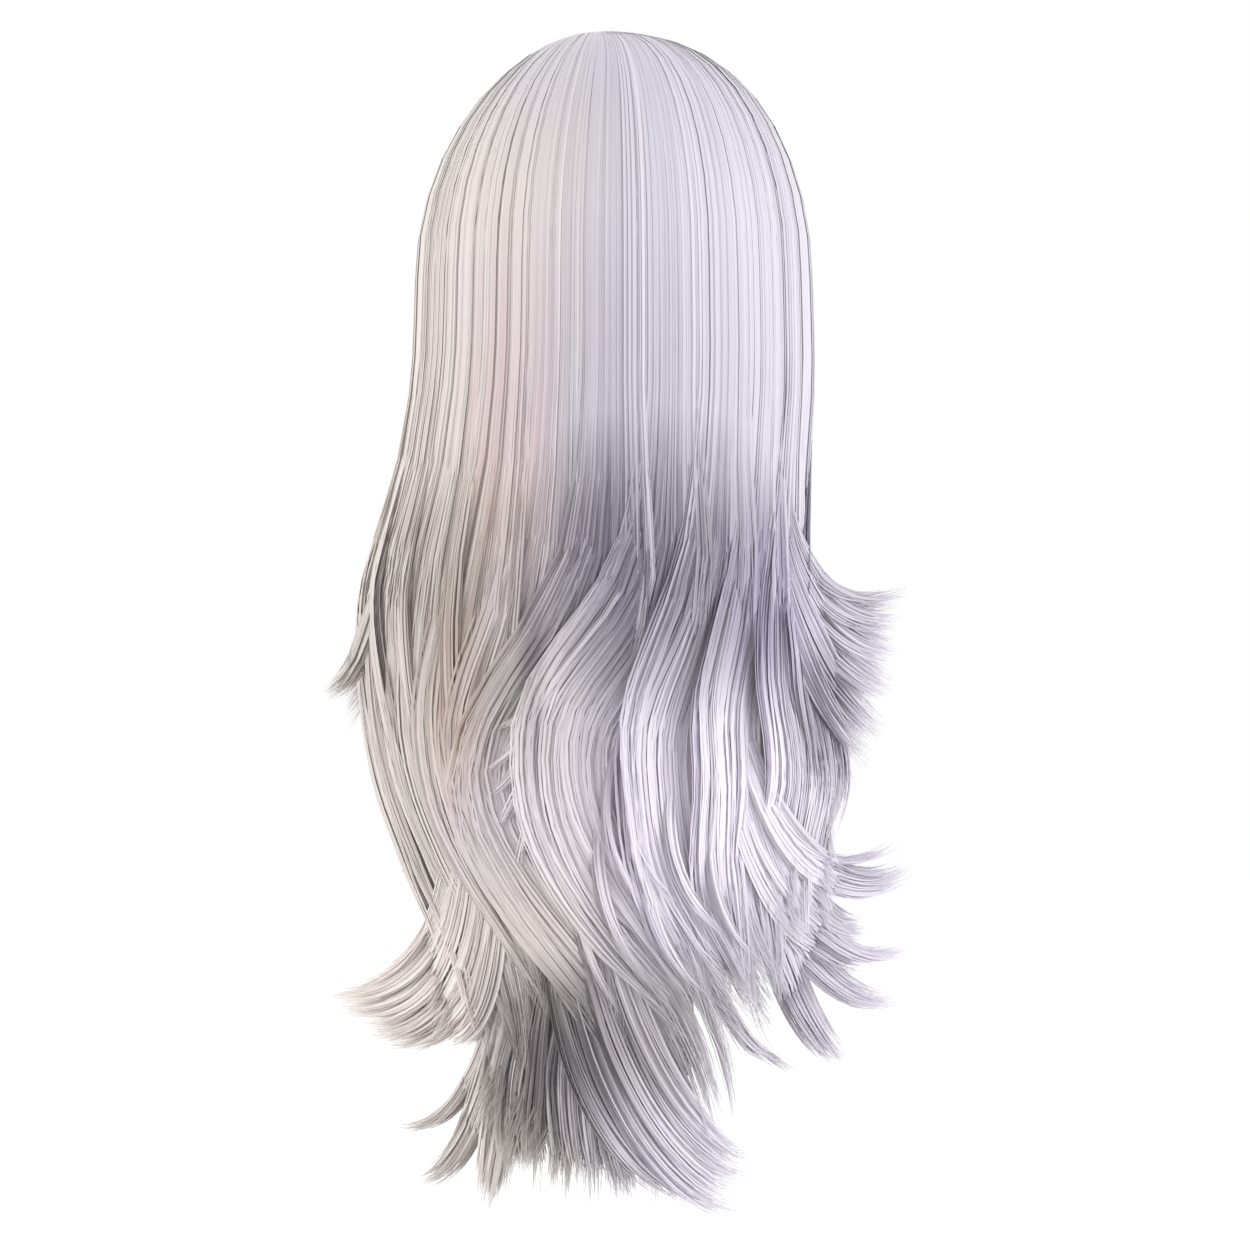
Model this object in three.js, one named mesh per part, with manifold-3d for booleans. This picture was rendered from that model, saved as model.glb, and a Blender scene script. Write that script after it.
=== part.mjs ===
import * as THREE from "three";
import { mergeVertices } from "three/addons/utils/BufferGeometryUtils.js";
import Module from "manifold-3d";

const wasm = await Module();
wasm.setup();

// A long straight wig with flicked, layered ends, in millimetres. The wearer's head fills a stretch cap with
// an elastic rim. The top hair is knotted to a parting base on the crown and covers everything. More rows of
// hair hang under it from four tapes sewn round the cap.
// Origin: the inside of the cap at the top of the head. +Z is up, +Y is the way the wearer faces, and +X is
// the wearer's right. An angle round the head is 0 at the nape, 90 at the right ear and 180 at the face.

// The head that the cap fits
const headWidth = 154;
const headLength = 194;
const crownHeight = 96; // from the top of the head down to its widest level
const lowerHeight = 150; // how far below that level the head would close to a point

// The cap and what is sewn to it
const capWall = 1.6;
const capDepth = 178; // from the crown down to the nape
const stitchGap = 0.4; // what a line of stitches leaves between two sewn pieces
const rimWall = 1.5;
const rimHeight = 10;
const partingWall = 1.2;
const partingWidth = 24;
const partingFront = 88; // how far its base reaches in front of the top of the head
const partingBack = 46;
const partingOffset = 12; // the parting lies this far left of the middle
const tapeWall = 2.2;
const tapeHeight = 9;

// The hair as a whole
const hairLength = 576; // from the top of the crown to the lowest tip
const hairWidth = 200;
const hairDepth = 222;
const crownRise = 17; // hair above the top of the head
const faceDepth = 98; // how far the side hair comes forward at the widest level
const faceAngle = 130; // where the hair stops beside the face
const swirlAngle = 75; // nearer the back than this, all hair leaves the back end of the parting
const crownFullness = 0.9; // below 1, the crown is fuller than an ellipse
const partingDrop = 58; // how far the parting falls towards the forehead
const topThickness = 12;
const crownThickness = 14;
const ridgeDepth = 2.4;
const hairlineThickness = 9; // the least hair over the cap, as at the forehead

// Locks of hair
const lockWidth = 38;
const topLockThickness = 11;
const underLockThickness = 13;
const taperStart = 0.56; // where along its length a lock starts to taper
const taperCurve = 1.3; // above 1, a taper starts gently
const tipThickness = 0.2; // how much of its thickness a lock keeps at a tip of no width
const flickReach = 65; // the longest outward throw of a tip
const flickStart = 0.66; // where along its length a lock starts to flick out
const flickCurve = 1.7; // above 1, a flick starts gently
const levelling = 0.25; // how much a lock's fall slows towards its tip
const levellingOfFlick = 0.6; // the same for a lock with a full flick
const twistStart = 0.45; // where along its length a lock starts to turn on its own line
const tipsOut = 0.55; // where along its length a lock starts to come out to the hair's surface
const waveSwing = 40; // sideways swing of the wave below the neck
const waveTop = 0.4; // share of the hair's length where the wave starts
const waveSpan = 0.39; // share of the hair's length that half a wave takes
const shellDrop = 0.42; // share of the hair's length where the top hair parts into locks
const shellFade = 0.7; // where between the widest level and its end the top hair starts to thin
const lockOverlap = 0.11; // share of the hair's length by which a lock runs up into the top hair
const rootShare = 0.45; // a lock's thickness at its root as a share of its full thickness
const rootEnd = 0.2; // where along its length a lock reaches its full thickness
const lockSides = 6;
const lockSteps = 9;
const stepCrowding = 1.4; // above 1, a lock's sections lie closer together towards its tip

// Rows of hair under the top hair: how far above the rim their tapes are sewn, and the air between them
const middleLift = 52;
const napeLift = 6;
const sideLift = 10;
const layerGap = 3;
const hairClearance = 0.9; // air that a layer keeps from the locks that lie against it
const rootLeave = 0.45; // where along its length a lock has left the cap
const lowestRoot = -0.6; // below this share of the lower head, a lock hangs straight

const headColumns = 24;
const headRows = 10;
const wedgeStep = 30; // degrees between the corners of a wedge's far side
const mergeDistance = 1e-4;
const degrees = Math.PI / 180;

// The cap's rim: how far down it reaches, as a share of the cap's depth, round the head.
const rimRows = [
  { at: 0, drop: 1.0 },
  { at: 34, drop: 0.97 },
  { at: 62, drop: 0.8 },
  { at: 88, drop: 0.64 },
  { at: 104, drop: 0.72 },
  { at: 120, drop: 0.58 },
  { at: 136, drop: 0.39 },
  { at: 158, drop: 0.29 },
  { at: 180, drop: 0.27 },
];

// The hair's outline. drop is a share of the hair's length, left and right are shares of half its width, back
// is a share of half its depth, and front of the face depth.
const outlineRows = [
  { drop: 0.21, left: 1.0, right: 0.99, back: 1.06, front: 1.0 },
  { drop: 0.29, left: 1.02, right: 1.0, back: 1.05, front: 0.93 },
  { drop: 0.37, left: 1.1, right: 0.98, back: 0.99, front: 0.85 },
  { drop: 0.47, left: 1.29, right: 0.99, back: 0.95, front: 0.76 },
  { drop: 0.55, left: 1.3, right: 1.08, back: 1.02, front: 0.7 },
  { drop: 0.63, left: 1.24, right: 1.19, back: 1.1, front: 0.66 },
  { drop: 0.7, left: 1.1, right: 1.07, back: 1.08, front: 0.63 },
  { drop: 0.77, left: 0.94, right: 0.96, back: 1.0, front: 0.6 },
  { drop: 0.88, left: 0.79, right: 0.74, back: 0.88, front: 0.54 },
  { drop: 1.0, left: 0.7, right: 0.62, back: 0.78, front: 0.5 },
];

// One row for each lock. from and to are its angles at the root and at the tip. tip is how far down it ends,
// as a share of the hair's length. wave, flick and twist are shares of the wave's swing, of the flick's reach
// and of a quarter turn. width is a share of the lock width, and blunt is the tip's width as a share of that.
const topLockRows = [
  { from: -126, to: -122, tip: 0.61, wave: 0.1, flick: 0.12, twist: 0, width: 0.9, blunt: 0.2 },
  { from: -110, to: -98, tip: 0.575, wave: 0.0, flick: 0.35, twist: 0.3, width: 0.9, blunt: 0.1 },
  { from: -95, to: -87, tip: 0.83, wave: 0.1, flick: 0.95, twist: 0.7, width: 1.5, blunt: 0.15 },
  { from: -79, to: -80, tip: 0.875, wave: 0.1, flick: 0.6, twist: 0.6, width: 1.3, blunt: 0.3 },
  { from: -62, to: -62, tip: 0.84, wave: 0.15, flick: 0.5, twist: 0.3, width: 1.2, blunt: 0.3 },
  { from: -46, to: -37, tip: 0.85, wave: 0.3, flick: 0.1, twist: 0, width: 1.1, blunt: 0.15 },
  { from: -31, to: -20, tip: 0.75, wave: 0.6, flick: 0.15, twist: 0, width: 1.1, blunt: 0.2 },
  { from: -16, to: -4, tip: 0.8, wave: 0.9, flick: 0.15, twist: 0, width: 1.15, blunt: 0.25 },
  { from: 0, to: 10, tip: 0.86, wave: 1.0, flick: 0.15, twist: 0, width: 1.2, blunt: 0.3 },
  { from: 16, to: 26, tip: 0.83, wave: 1.0, flick: 0.2, twist: 0.1, width: 1.2, blunt: 0.3 },
  { from: 32, to: 42, tip: 0.82, wave: 0.8, flick: 0.35, twist: 0.2, width: 1.15, blunt: 0.2 },
  { from: 48, to: 58, tip: 0.88, wave: 0.6, flick: 0.75, twist: 0.4, width: 1.1, blunt: 0.1 },
  { from: 62, to: 74, tip: 0.825, wave: 0.45, flick: 0.85, twist: 0.6, width: 1.2, blunt: 0.15 },
  { from: 78, to: 86, tip: 0.715, wave: 0.3, flick: 0.7, twist: 0.7, width: 1.5, blunt: 0.15 },
  { from: 96, to: 90, tip: 0.55, wave: 0.0, flick: 0.62, twist: 0.9, width: 2.1, blunt: 0.85 },
  { from: 112, to: 102, tip: 0.62, wave: 0.0, flick: 0.3, twist: 0.3, width: 1.1, blunt: 0.2 },
  { from: 126, to: 122, tip: 0.63, wave: 0.1, flick: 0.12, twist: 0, width: 0.9, blunt: 0.2 },
];
const middleLockRows = [
  { from: -80, to: -72, tip: 0.84, wave: 0.1, flick: 0.35, twist: 0.3, width: 1.2, blunt: 0.2 },
  { from: -60, to: -52, tip: 0.87, wave: 0.2, flick: 0.1, twist: 0, width: 1.3, blunt: 0.3 },
  { from: -38, to: -28, tip: 0.89, wave: 0.4, flick: 0.0, twist: 0, width: 1.3, blunt: 0.3 },
  { from: -15, to: -2, tip: 0.91, wave: 0.6, flick: 0.0, twist: 0, width: 1.3, blunt: 0.3 },
  { from: 9, to: 22, tip: 0.89, wave: 0.7, flick: 0.1, twist: 0, width: 1.3, blunt: 0.3 },
  { from: 32, to: 46, tip: 0.88, wave: 0.6, flick: 0.15, twist: 0.1, width: 1.2, blunt: 0.15 },
  { from: 56, to: 68, tip: 0.885, wave: 0.4, flick: 0.5, twist: 0.4, width: 1.1, blunt: 0.15 },
  { from: 78, to: 80, tip: 0.78, wave: 0.3, flick: 0.85, twist: 0.6, width: 1.5, blunt: 0.15 },
];
const napeLockRows = [
  { from: -50, to: -56, tip: 0.925, wave: 0.1, flick: 0.6, twist: 0.4, width: 1.1, blunt: 0.15 },
  { from: -36, to: -44, tip: 0.965, wave: 0.1, flick: 0.5, twist: 0.4, width: 1.2, blunt: 0.2 },
  { from: -20, to: -29, tip: 0.99, wave: 0.1, flick: 0.35, twist: 0.2, width: 1.3, blunt: 0.2 },
  { from: -5, to: -6, tip: 0.95, wave: 0.2, flick: 0.0, twist: 0, width: 1.4, blunt: 0.4 },
  { from: 11, to: 14, tip: 0.98, wave: 0.4, flick: 0.1, twist: 0, width: 1.3, blunt: 0.2 },
  { from: 27, to: 34, tip: 0.975, wave: 0.5, flick: 0.55, twist: 0.3, width: 1.5, blunt: 0.6 },
  { from: 43, to: 44, tip: 0.94, wave: 0.4, flick: 0.3, twist: 0.2, width: 1.2, blunt: 0.4 },
];
const sideLockRows = [
  { from: 96, to: 94, tip: 0.74, wave: 0.1, flick: 0.2, twist: 0.1, width: 1.0, blunt: 0.2 },
  { from: 114, to: 110, tip: 0.7, wave: 0.1, flick: 0.15, twist: 0, width: 1.0, blunt: 0.2 },
];

// Reads a column of a table at any place between its rows, along a smooth curve through them.
function readTable(rows, key, column, place) {
  const last = rows.length - 1;
  const at = Math.min(Math.max(place, rows[0][key]), rows[last][key]);
  let i = 0;
  while (i < last - 1 && rows[i + 1][key] < at) i += 1;
  const slope = (j) => {
    const before = rows[Math.max(j - 1, 0)];
    const after = rows[Math.min(j + 1, last)];
    return (after[column] - before[column]) / (after[key] - before[key]);
  };
  const span = rows[i + 1][key] - rows[i][key];
  const t = (at - rows[i][key]) / span;
  return (
    rows[i][column] * (1 + 2 * t) * (1 - t) ** 2 +
    rows[i + 1][column] * t * t * (3 - 2 * t) +
    span * t * (1 - t) * ((1 - t) * slope(i) - t * slope(i + 1))
  );
}

function mix(a, b, t) {
  return a + (b - a) * t;
}

function smooth(t) {
  const c = Math.min(Math.max(t, 0), 1);
  return c * c * (3 - 2 * c);
}

// A solid from a closed geometry, with vertices that lie together merged and empty triangles left out.
function solidOf(geometry) {
  geometry.deleteAttribute("normal");
  geometry.deleteAttribute("uv");
  const merged = mergeVertices(geometry, mergeDistance);
  const index = Array.from(merged.index.array);
  const kept = [];
  for (let i = 0; i < index.length; i += 3) {
    const [a, b, c] = index.slice(i, i + 3);
    if (a !== b && b !== c && c !== a) kept.push(a, b, c);
  }
  return new wasm.Manifold(
    new wasm.Mesh({
      numProp: 3,
      vertProperties: merged.attributes.position.array,
      triVerts: new Uint32Array(kept),
    }),
  );
}

function solidFrom(points, triangles) {
  const geometry = new THREE.BufferGeometry();
  geometry.setAttribute("position", new THREE.Float32BufferAttribute(points.flat(), 3));
  geometry.setIndex(triangles.flat());
  return solidOf(geometry);
}

function meshFrom(name, solid, material) {
  const made = solid.getMesh();
  const geometry = new THREE.BufferGeometry();
  geometry.setAttribute("position", new THREE.BufferAttribute(made.vertProperties, 3));
  geometry.setIndex(new THREE.BufferAttribute(made.triVerts, 1));
  geometry.computeVertexNormals();
  const mesh = new THREE.Mesh(geometry, material);
  mesh.name = name;
  return mesh;
}

// Faces between rings of points that all run the same way round. Each end closes on its middle point.
function skin(rings, middles) {
  const points = rings.flat();
  const sides = rings[0].length;
  const triangles = [];
  for (let i = 0; i + 1 < rings.length; i += 1) {
    for (let j = 0; j < sides; j += 1) {
      const a = i * sides + j;
      const b = i * sides + ((j + 1) % sides);
      triangles.push([a, b, a + sides], [b, b + sides, a + sides]);
    }
  }
  const first = points.length;
  const lastRing = (rings.length - 1) * sides;
  points.push(middles[0], middles[1]);
  for (let j = 0; j < sides; j += 1) {
    const next = (j + 1) % sides;
    triangles.push([first, next, j], [first + 1, lastRing + j, lastRing + next]);
  }
  return solidFrom(points, triangles);
}

// The head's surface, moved out by an offset, at an angle round the head and an angle down from its top.
function headPoint(angle, down, offset) {
  const below = down > 90;
  const rise = Math.cos(down * degrees) * (below ? lowerHeight : crownHeight + offset);
  const round = Math.sin(down * degrees);
  return [
    (headWidth / 2 + offset) * round * Math.sin(angle * degrees),
    -(headLength / 2 + offset) * round * Math.cos(angle * degrees),
    rise - crownHeight,
  ];
}

function headSolid(offset) {
  const rings = [];
  for (let i = 1; i < headRows; i += 1) {
    const ring = [];
    for (let j = 0; j < headColumns; j += 1) {
      ring.push(headPoint((360 * j) / headColumns, (180 * i) / headRows, offset));
    }
    rings.push(ring.reverse());
  }
  return skin(rings, [headPoint(0, 0, offset), headPoint(0, 180, offset)]);
}

// All the space below the cap's rim, raised by a lift.
function belowRim(lift) {
  const reach = hairDepth + hairWidth;
  const rings = [];
  for (const [radius, floor] of [
    [headWidth / 4, false],
    [reach, false],
    [reach, true],
  ]) {
    const ring = [];
    for (let j = 0; j < headColumns; j += 1) {
      const angle = (360 * j) / headColumns;
      const folded = angle > 180 ? 360 - angle : angle;
      const rim = -capDepth * readTable(rimRows, "at", "drop", folded) + lift;
      const height = floor ? -reach : rim;
      ring.push([radius * Math.sin(angle * degrees), -radius * Math.cos(angle * degrees), height]);
    }
    rings.push(ring.reverse());
  }
  const middle = -capDepth * readTable(rimRows, "at", "drop", 90) + lift;
  return skin(rings, [
    [0, 0, middle],
    [0, 0, -reach],
  ]);
}

// A wedge of space round the head between two angles.
function wedge(low, high) {
  const reach = hairDepth + hairWidth;
  const shape = new THREE.Shape();
  shape.moveTo(0, 0);
  const steps = Math.max(2, Math.ceil((high - low) / wedgeStep));
  for (let i = 0; i <= steps; i += 1) {
    const angle = mix(low, high, i / steps) * degrees;
    shape.lineTo(reach * Math.sin(angle), -reach * Math.cos(angle));
  }
  const geometry = new THREE.ExtrudeGeometry(shape, { depth: 2 * reach, bevelEnabled: false });
  geometry.translate(0, 0, -reach);
  return solidOf(geometry);
}

// The hair's own surface, moved in by a depth, at an angle round the head and a height.
function outlinePoint(angle, height, depth) {
  const drop = (crownRise - height) / hairLength;
  const side = readTable(outlineRows, "drop", angle < 0 ? "left" : "right", drop) * (hairWidth / 2);
  const back = readTable(outlineRows, "drop", "back", drop) * (hairDepth / 2);
  const front = readTable(outlineRows, "drop", "front", drop) * faceDepth;
  const reach = Math.cos(angle * degrees) > 0 ? back : front;
  return [(side - depth) * Math.sin(angle * degrees), -(reach - depth) * Math.cos(angle * degrees), height];
}

const widestHeight = crownRise - outlineRows[0].drop * hairLength;
const shellEnd = crownRise - shellDrop * hairLength;

// The parting runs over the crown, from behind its top towards the forehead.
function partingPoint(angle) {
  const share = smooth((Math.abs(angle) - swirlAngle) / (faceAngle - swirlAngle));
  const height = crownRise - partingDrop * share * share;
  return [-partingOffset, mix(-partingBack / 2, partingFront, share), height];
}

// A point pushed out from the middle of the head where it lies deeper than an offset from the head.
function outsideHead([x, y, z], offset) {
  const [wide, long, high] = [headWidth / 2 + offset, headLength / 2 + offset, crownHeight + offset];
  const depth = Math.hypot(x / wide, y / long, (z + crownHeight) / high);
  const push = Math.max(1, 1 / depth);
  return [x * push, y * push, (z + crownHeight) * push - crownHeight];
}

// The top hair's surface: a quarter of an ellipse from the parting to the widest level, then the outline.
// Level is 0 at the parting, 1 at the widest level and 2 where the hair parts into locks.
function topPoint(angle, level, depth) {
  if (level > 1) return outlinePoint(angle, mix(widestHeight, shellEnd, level - 1), depth);
  const start = partingPoint(angle);
  const end = outlinePoint(angle, widestHeight, depth);
  const turn = level * 90 * degrees;
  const out = Math.sin(turn) ** crownFullness;
  return outsideHead(
    [
      end[0] * out + start[0] * (1 - out) ** 3,
      mix(start[1], end[1], out),
      mix(start[2] - depth, end[2], 1 - Math.cos(turn)),
    ],
    capWall + stitchGap + hairlineThickness - depth,
  );
}

// The top hair above its locks is a shell, open at the face and at the neck, with a ridge along each lock.
// It grows inwards and past its two edges beside the face.
function topShell(grow) {
  const columns = 2 * topLockRows.length;
  const levels = [0, 0.22, 0.45, 0.68, 0.88, 1.3, 1 + shellFade, 2];
  const points = [];
  const past = grow / (hairWidth / 2) / degrees;
  const at = (column, level, inner) => {
    const edge = column % columns ? 0 : past * Math.sign(column - 1);
    const angle = mix(-faceAngle, faceAngle, column / columns) + edge;
    const ridge = column % 2 ? 0 : ridgeDepth * smooth(levels[level]);
    const wall = mix(crownThickness, topThickness, smooth(levels[level]));
    const fade = (wall / 2) * smooth((levels[level] - 1 - shellFade) / (1 - shellFade));
    return topPoint(angle, levels[level], inner ? wall + grow : Math.max(ridge, fade));
  };
  for (const inner of [false, true]) {
    for (let column = 0; column <= columns; column += 1) {
      for (let level = 0; level < levels.length; level += 1) points.push(at(column, level, inner));
    }
  }
  const number = (column, level, inner) => ((inner ? columns + 1 : 0) + column) * levels.length + level;
  const triangles = [];
  const face = (a, b, c, d) => triangles.push([a, b, c], [a, c, d]);
  for (let column = 0; column < columns; column += 1) {
    for (let level = 0; level + 1 < levels.length; level += 1) {
      const corners = [
        [column, level],
        [column, level + 1],
        [column + 1, level + 1],
        [column + 1, level],
      ];
      face(...corners.map(([c, l]) => number(c, l, false)));
      face(...corners.reverse().map(([c, l]) => number(c, l, true)));
    }
    const bottom = levels.length - 1;
    face(
      number(column, bottom, true),
      number(column + 1, bottom, true),
      number(column + 1, bottom, false),
      number(column, bottom, false),
    );
  }
  for (let level = 0; level + 1 < levels.length; level += 1) {
    const next = level + 1;
    face(number(0, level, true), number(0, next, true), number(0, next, false), number(0, level, false));
    face(
      number(columns, level, false),
      number(columns, next, false),
      number(columns, next, true),
      number(columns, level, true),
    );
  }
  return solidFrom(points, triangles);
}

// The wave below the neck swings left and then right, as a share of its swing.
function waveAt(height) {
  const drop = (crownRise - height) / hairLength;
  if (drop < waveTop) return 0;
  return -Math.sin(((drop - waveTop) / waveSpan) * Math.PI) * smooth((drop - waveTop) / (waveSpan / 2));
}

// The middle line of a lock: it leaves its root, hangs at its layer's depth, waves and flicks.
function lockPoint(lock, layer, along) {
  const slowing = mix(levelling, levellingOfFlick, lock.flick);
  const share = along * (1 + slowing) - slowing * along ** 3;
  const rootHeight = layer.rootHeight(lock.from);
  const tipHeight = crownRise - lock.tip * hairLength;
  const height = mix(rootHeight, tipHeight, share);
  const swing = (lock.wave * waveSwing * waveAt(height)) / (hairDepth / 2) / degrees;
  const angle = mix(lock.from, lock.to, smooth(along)) + swing;
  const depth = mix(layer.depth, layer.thickness / 2, smooth((along - tipsOut) / (1 - tipsOut)));
  const hang = outlinePoint(angle, Math.min(height, widestHeight), depth);
  const root = layer.rootPoint(lock.from, height);
  const out = smooth(along / layer.leave);
  const flick = lock.flick * flickReach * Math.max((along - flickStart) / (1 - flickStart), 0) ** flickCurve;
  return [
    mix(root[0], hang[0], out) + flick * Math.sin(angle * degrees),
    mix(root[1], hang[1], out) - flick * Math.cos(angle * degrees),
    height,
  ];
}

// A lock as a solid, grown all round where it is to leave room for itself in a neighbour.
function lockSolid(lock, layer, grow) {
  const nearby = 1 / lockSteps ** 2;
  const rings = [];
  const middles = [];
  for (let i = 0; i < lockSteps; i += 1) {
    const along = 1 - (1 - i / (lockSteps - 1)) ** stepCrowding;
    const here = new THREE.Vector3(...lockPoint(lock, layer, along));
    const before = new THREE.Vector3(...lockPoint(lock, layer, Math.max(along - nearby, 0)));
    const after = new THREE.Vector3(...lockPoint(lock, layer, Math.min(along + nearby, 1)));
    const tangent = after.clone().sub(before).normalize();
    const angle = mix(lock.from, lock.to, smooth(along)) * degrees;
    const wide = new THREE.Vector3(Math.cos(angle), Math.sin(angle), 0);
    wide.addScaledVector(tangent, -wide.dot(tangent)).normalize();
    const side = Math.sign(angle) || 1;
    const turned = 90 * degrees * lock.twist * smooth((along - twistStart) / (1 - twistStart));
    wide.applyAxisAngle(tangent, side * turned);
    const thick = new THREE.Vector3().crossVectors(tangent, wide);
    const taper = mix(1, lock.blunt, Math.max((along - taperStart) / (1 - taperStart), 0) ** taperCurve);
    const halfWidth = (lock.width * lockWidth * taper) / 2 + grow;
    const swell = mix(rootShare, 1, smooth(along / rootEnd));
    const halfThickness = (layer.thickness * swell * mix(taper, 1, tipThickness)) / 2 + grow;
    if (i === 0) here.addScaledVector(tangent, -grow);
    if (i === lockSteps - 1) here.addScaledVector(tangent, grow);
    const ring = [];
    for (let k = 0; k < lockSides; k += 1) {
      const turn = (2 * Math.PI * k) / lockSides;
      const point = here
        .clone()
        .addScaledVector(wide, halfWidth * Math.cos(turn))
        .addScaledVector(thick, halfThickness * Math.sin(turn));
      ring.push(point.toArray());
    }
    rings.push(ring);
    middles.push(here.toArray());
  }
  return skin(rings, [middles[0], middles[lockSteps - 1]]);
}

// Layers: how deep each hangs under the outline, and where its locks start.
const topLayer = {
  depth: topThickness / 2,
  thickness: topLockThickness,
  leave: rootLeave,
  rootHeight: () => shellEnd + lockOverlap * hairLength,
  rootPoint: (angle, height) => outlinePoint(angle, height, topThickness / 2),
};

function tapeLayer(depth, lift) {
  const rimAt = (angle) => -capDepth * readTable(rimRows, "at", "drop", Math.min(Math.abs(angle), 180));
  return {
    depth,
    thickness: underLockThickness,
    leave: rootLeave,
    rootHeight: (angle) => rimAt(angle) + lift + tapeHeight / 2,
    rootPoint: (angle, height) => {
      const reach = height < -crownHeight ? lowerHeight : crownHeight;
      const turn = Math.acos(Math.min(Math.max((height + crownHeight) / reach, lowestRoot), 1)) / degrees;
      const [x, y] = headPoint(angle, turn, capWall + stitchGap + underLockThickness / 2);
      return [x, y, height];
    },
  };
}

const secondDepth = topThickness + layerGap + underLockThickness / 2;
const thirdDepth = secondDepth + layerGap + underLockThickness;
const middleLayer = tapeLayer(secondDepth, middleLift);
const napeLayer = tapeLayer(thirdDepth, napeLift);
const sideLayer = tapeLayer(secondDepth, sideLift);

// Each tape runs round the cap from one angle to another, above the rim by its lift.
const leftLockRows = sideLockRows.map((row) => ({ ...row, from: -row.from, to: -row.to }));
const tapeRows = [
  { name: "middle_hair", locks: middleLockRows, layer: middleLayer, low: -94, high: 94, lift: middleLift },
  { name: "nape_hair", locks: napeLockRows, layer: napeLayer, low: -62, high: 62, lift: napeLift },
  { name: "right_side_hair", locks: sideLockRows, layer: sideLayer, low: 86, high: 122, lift: sideLift },
  { name: "left_side_hair", locks: leftLockRows, layer: sideLayer, low: -122, high: -86, lift: sideLift },
];

function tape({ low, high, lift }, grow) {
  const strip = headSolid(capWall + stitchGap + tapeWall + grow).subtract(headSolid(capWall));
  const end = grow / (headWidth / 2) / degrees;
  const between = belowRim(lift + tapeHeight + grow).subtract(belowRim(lift - grow));
  return strip.intersect(between).intersect(wedge(low - end, high + end));
}

function locksOf(rows, layer, grow) {
  return wasm.Manifold.union(rows.map((row) => lockSolid(row, layer, grow)));
}

function largestBody(solid) {
  const bodies = solid.decompose();
  return bodies.reduce((best, body) => (body.volume() > best.volume() ? body : best));
}

const netMaterial = new THREE.MeshStandardMaterial({ color: 0xd9d3d6, roughness: 0.95, metalness: 0 });
const elasticMaterial = new THREE.MeshStandardMaterial({ color: 0xe6e2e4, roughness: 0.85, metalness: 0 });
const partingMaterial = new THREE.MeshStandardMaterial({ color: 0xe3d2c8, roughness: 0.7, metalness: 0 });
const topMaterial = new THREE.MeshStandardMaterial({ color: 0xd9d2de, roughness: 0.42, metalness: 0 });
const underMaterial = new THREE.MeshStandardMaterial({ color: 0xc4bcc4, roughness: 0.48, metalness: 0 });

const wig = new THREE.Group();

function addCap() {
  const shell = headSolid(capWall).subtract(headSolid(0));
  wig.add(meshFrom("cap", shell.subtract(belowRim(0)), netMaterial));
}

function addRimElastic() {
  const shell = headSolid(-stitchGap).subtract(headSolid(-stitchGap - rimWall));
  const band = shell.subtract(belowRim(0)).intersect(belowRim(rimHeight));
  wig.add(meshFrom("rim_elastic", band, elasticMaterial));
}

function partingBlock(grow) {
  const size = [partingWidth + 2 * grow, partingFront + partingBack + 2 * grow, crownHeight];
  const block = new THREE.BoxGeometry(...size);
  block.translate(-partingOffset, (partingFront - partingBack) / 2, 0);
  return solidOf(block);
}

const partingOut = capWall + stitchGap + partingWall;

function addPartingBase() {
  const shell = headSolid(partingOut).subtract(headSolid(capWall + stitchGap));
  wig.add(meshFrom("parting_base", shell.intersect(partingBlock(0)), partingMaterial));
}

// Each layer of hair is cut clear of the cap, of the parting base and of the layers that lie over it.
function addHair() {
  const overCap = headSolid(capWall + stitchGap);
  const overParting = headSolid(partingOut + stitchGap).intersect(partingBlock(stitchGap));
  const keepOut = overCap.add(overParting);
  const topHair = topShell(0).add(locksOf(topLockRows, topLayer, 0)).subtract(keepOut);
  wig.add(meshFrom("top_hair", largestBody(topHair), topMaterial));
  let covered = keepOut.add(topShell(hairClearance)).add(locksOf(topLockRows, topLayer, hairClearance));
  for (const row of tapeRows) {
    const hair = tape(row, 0).add(locksOf(row.locks, row.layer, 0)).subtract(covered);
    wig.add(meshFrom(row.name, largestBody(hair), underMaterial));
    covered = covered.add(tape(row, hairClearance)).add(locksOf(row.locks, row.layer, hairClearance));
  }
}

addCap();
addRimElastic();
addPartingBase();
addHair();

export default wig;
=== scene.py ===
import math

import bpy
import numpy as np
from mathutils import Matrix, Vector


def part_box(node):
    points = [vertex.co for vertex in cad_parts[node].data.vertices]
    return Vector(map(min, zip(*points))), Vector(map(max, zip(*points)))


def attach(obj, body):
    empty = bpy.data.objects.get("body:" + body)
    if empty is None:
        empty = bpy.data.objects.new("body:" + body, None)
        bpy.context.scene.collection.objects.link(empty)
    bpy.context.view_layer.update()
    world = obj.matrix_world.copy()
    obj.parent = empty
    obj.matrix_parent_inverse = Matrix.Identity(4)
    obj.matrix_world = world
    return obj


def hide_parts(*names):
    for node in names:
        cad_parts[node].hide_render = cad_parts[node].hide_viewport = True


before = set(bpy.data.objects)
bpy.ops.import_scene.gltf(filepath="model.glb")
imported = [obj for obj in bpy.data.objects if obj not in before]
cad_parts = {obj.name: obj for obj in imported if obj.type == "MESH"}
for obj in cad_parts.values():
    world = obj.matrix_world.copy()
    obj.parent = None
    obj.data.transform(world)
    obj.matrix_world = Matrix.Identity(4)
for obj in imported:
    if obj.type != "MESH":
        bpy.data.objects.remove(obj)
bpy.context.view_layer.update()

# A long pale wig as it hangs on its wearer. Lengths are in millimetres until a mesh is made. An angle round
# the head is 0 at the nape, 90 at the right ear, -90 at the left ear and 180 at the face.
MM = 0.001
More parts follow.
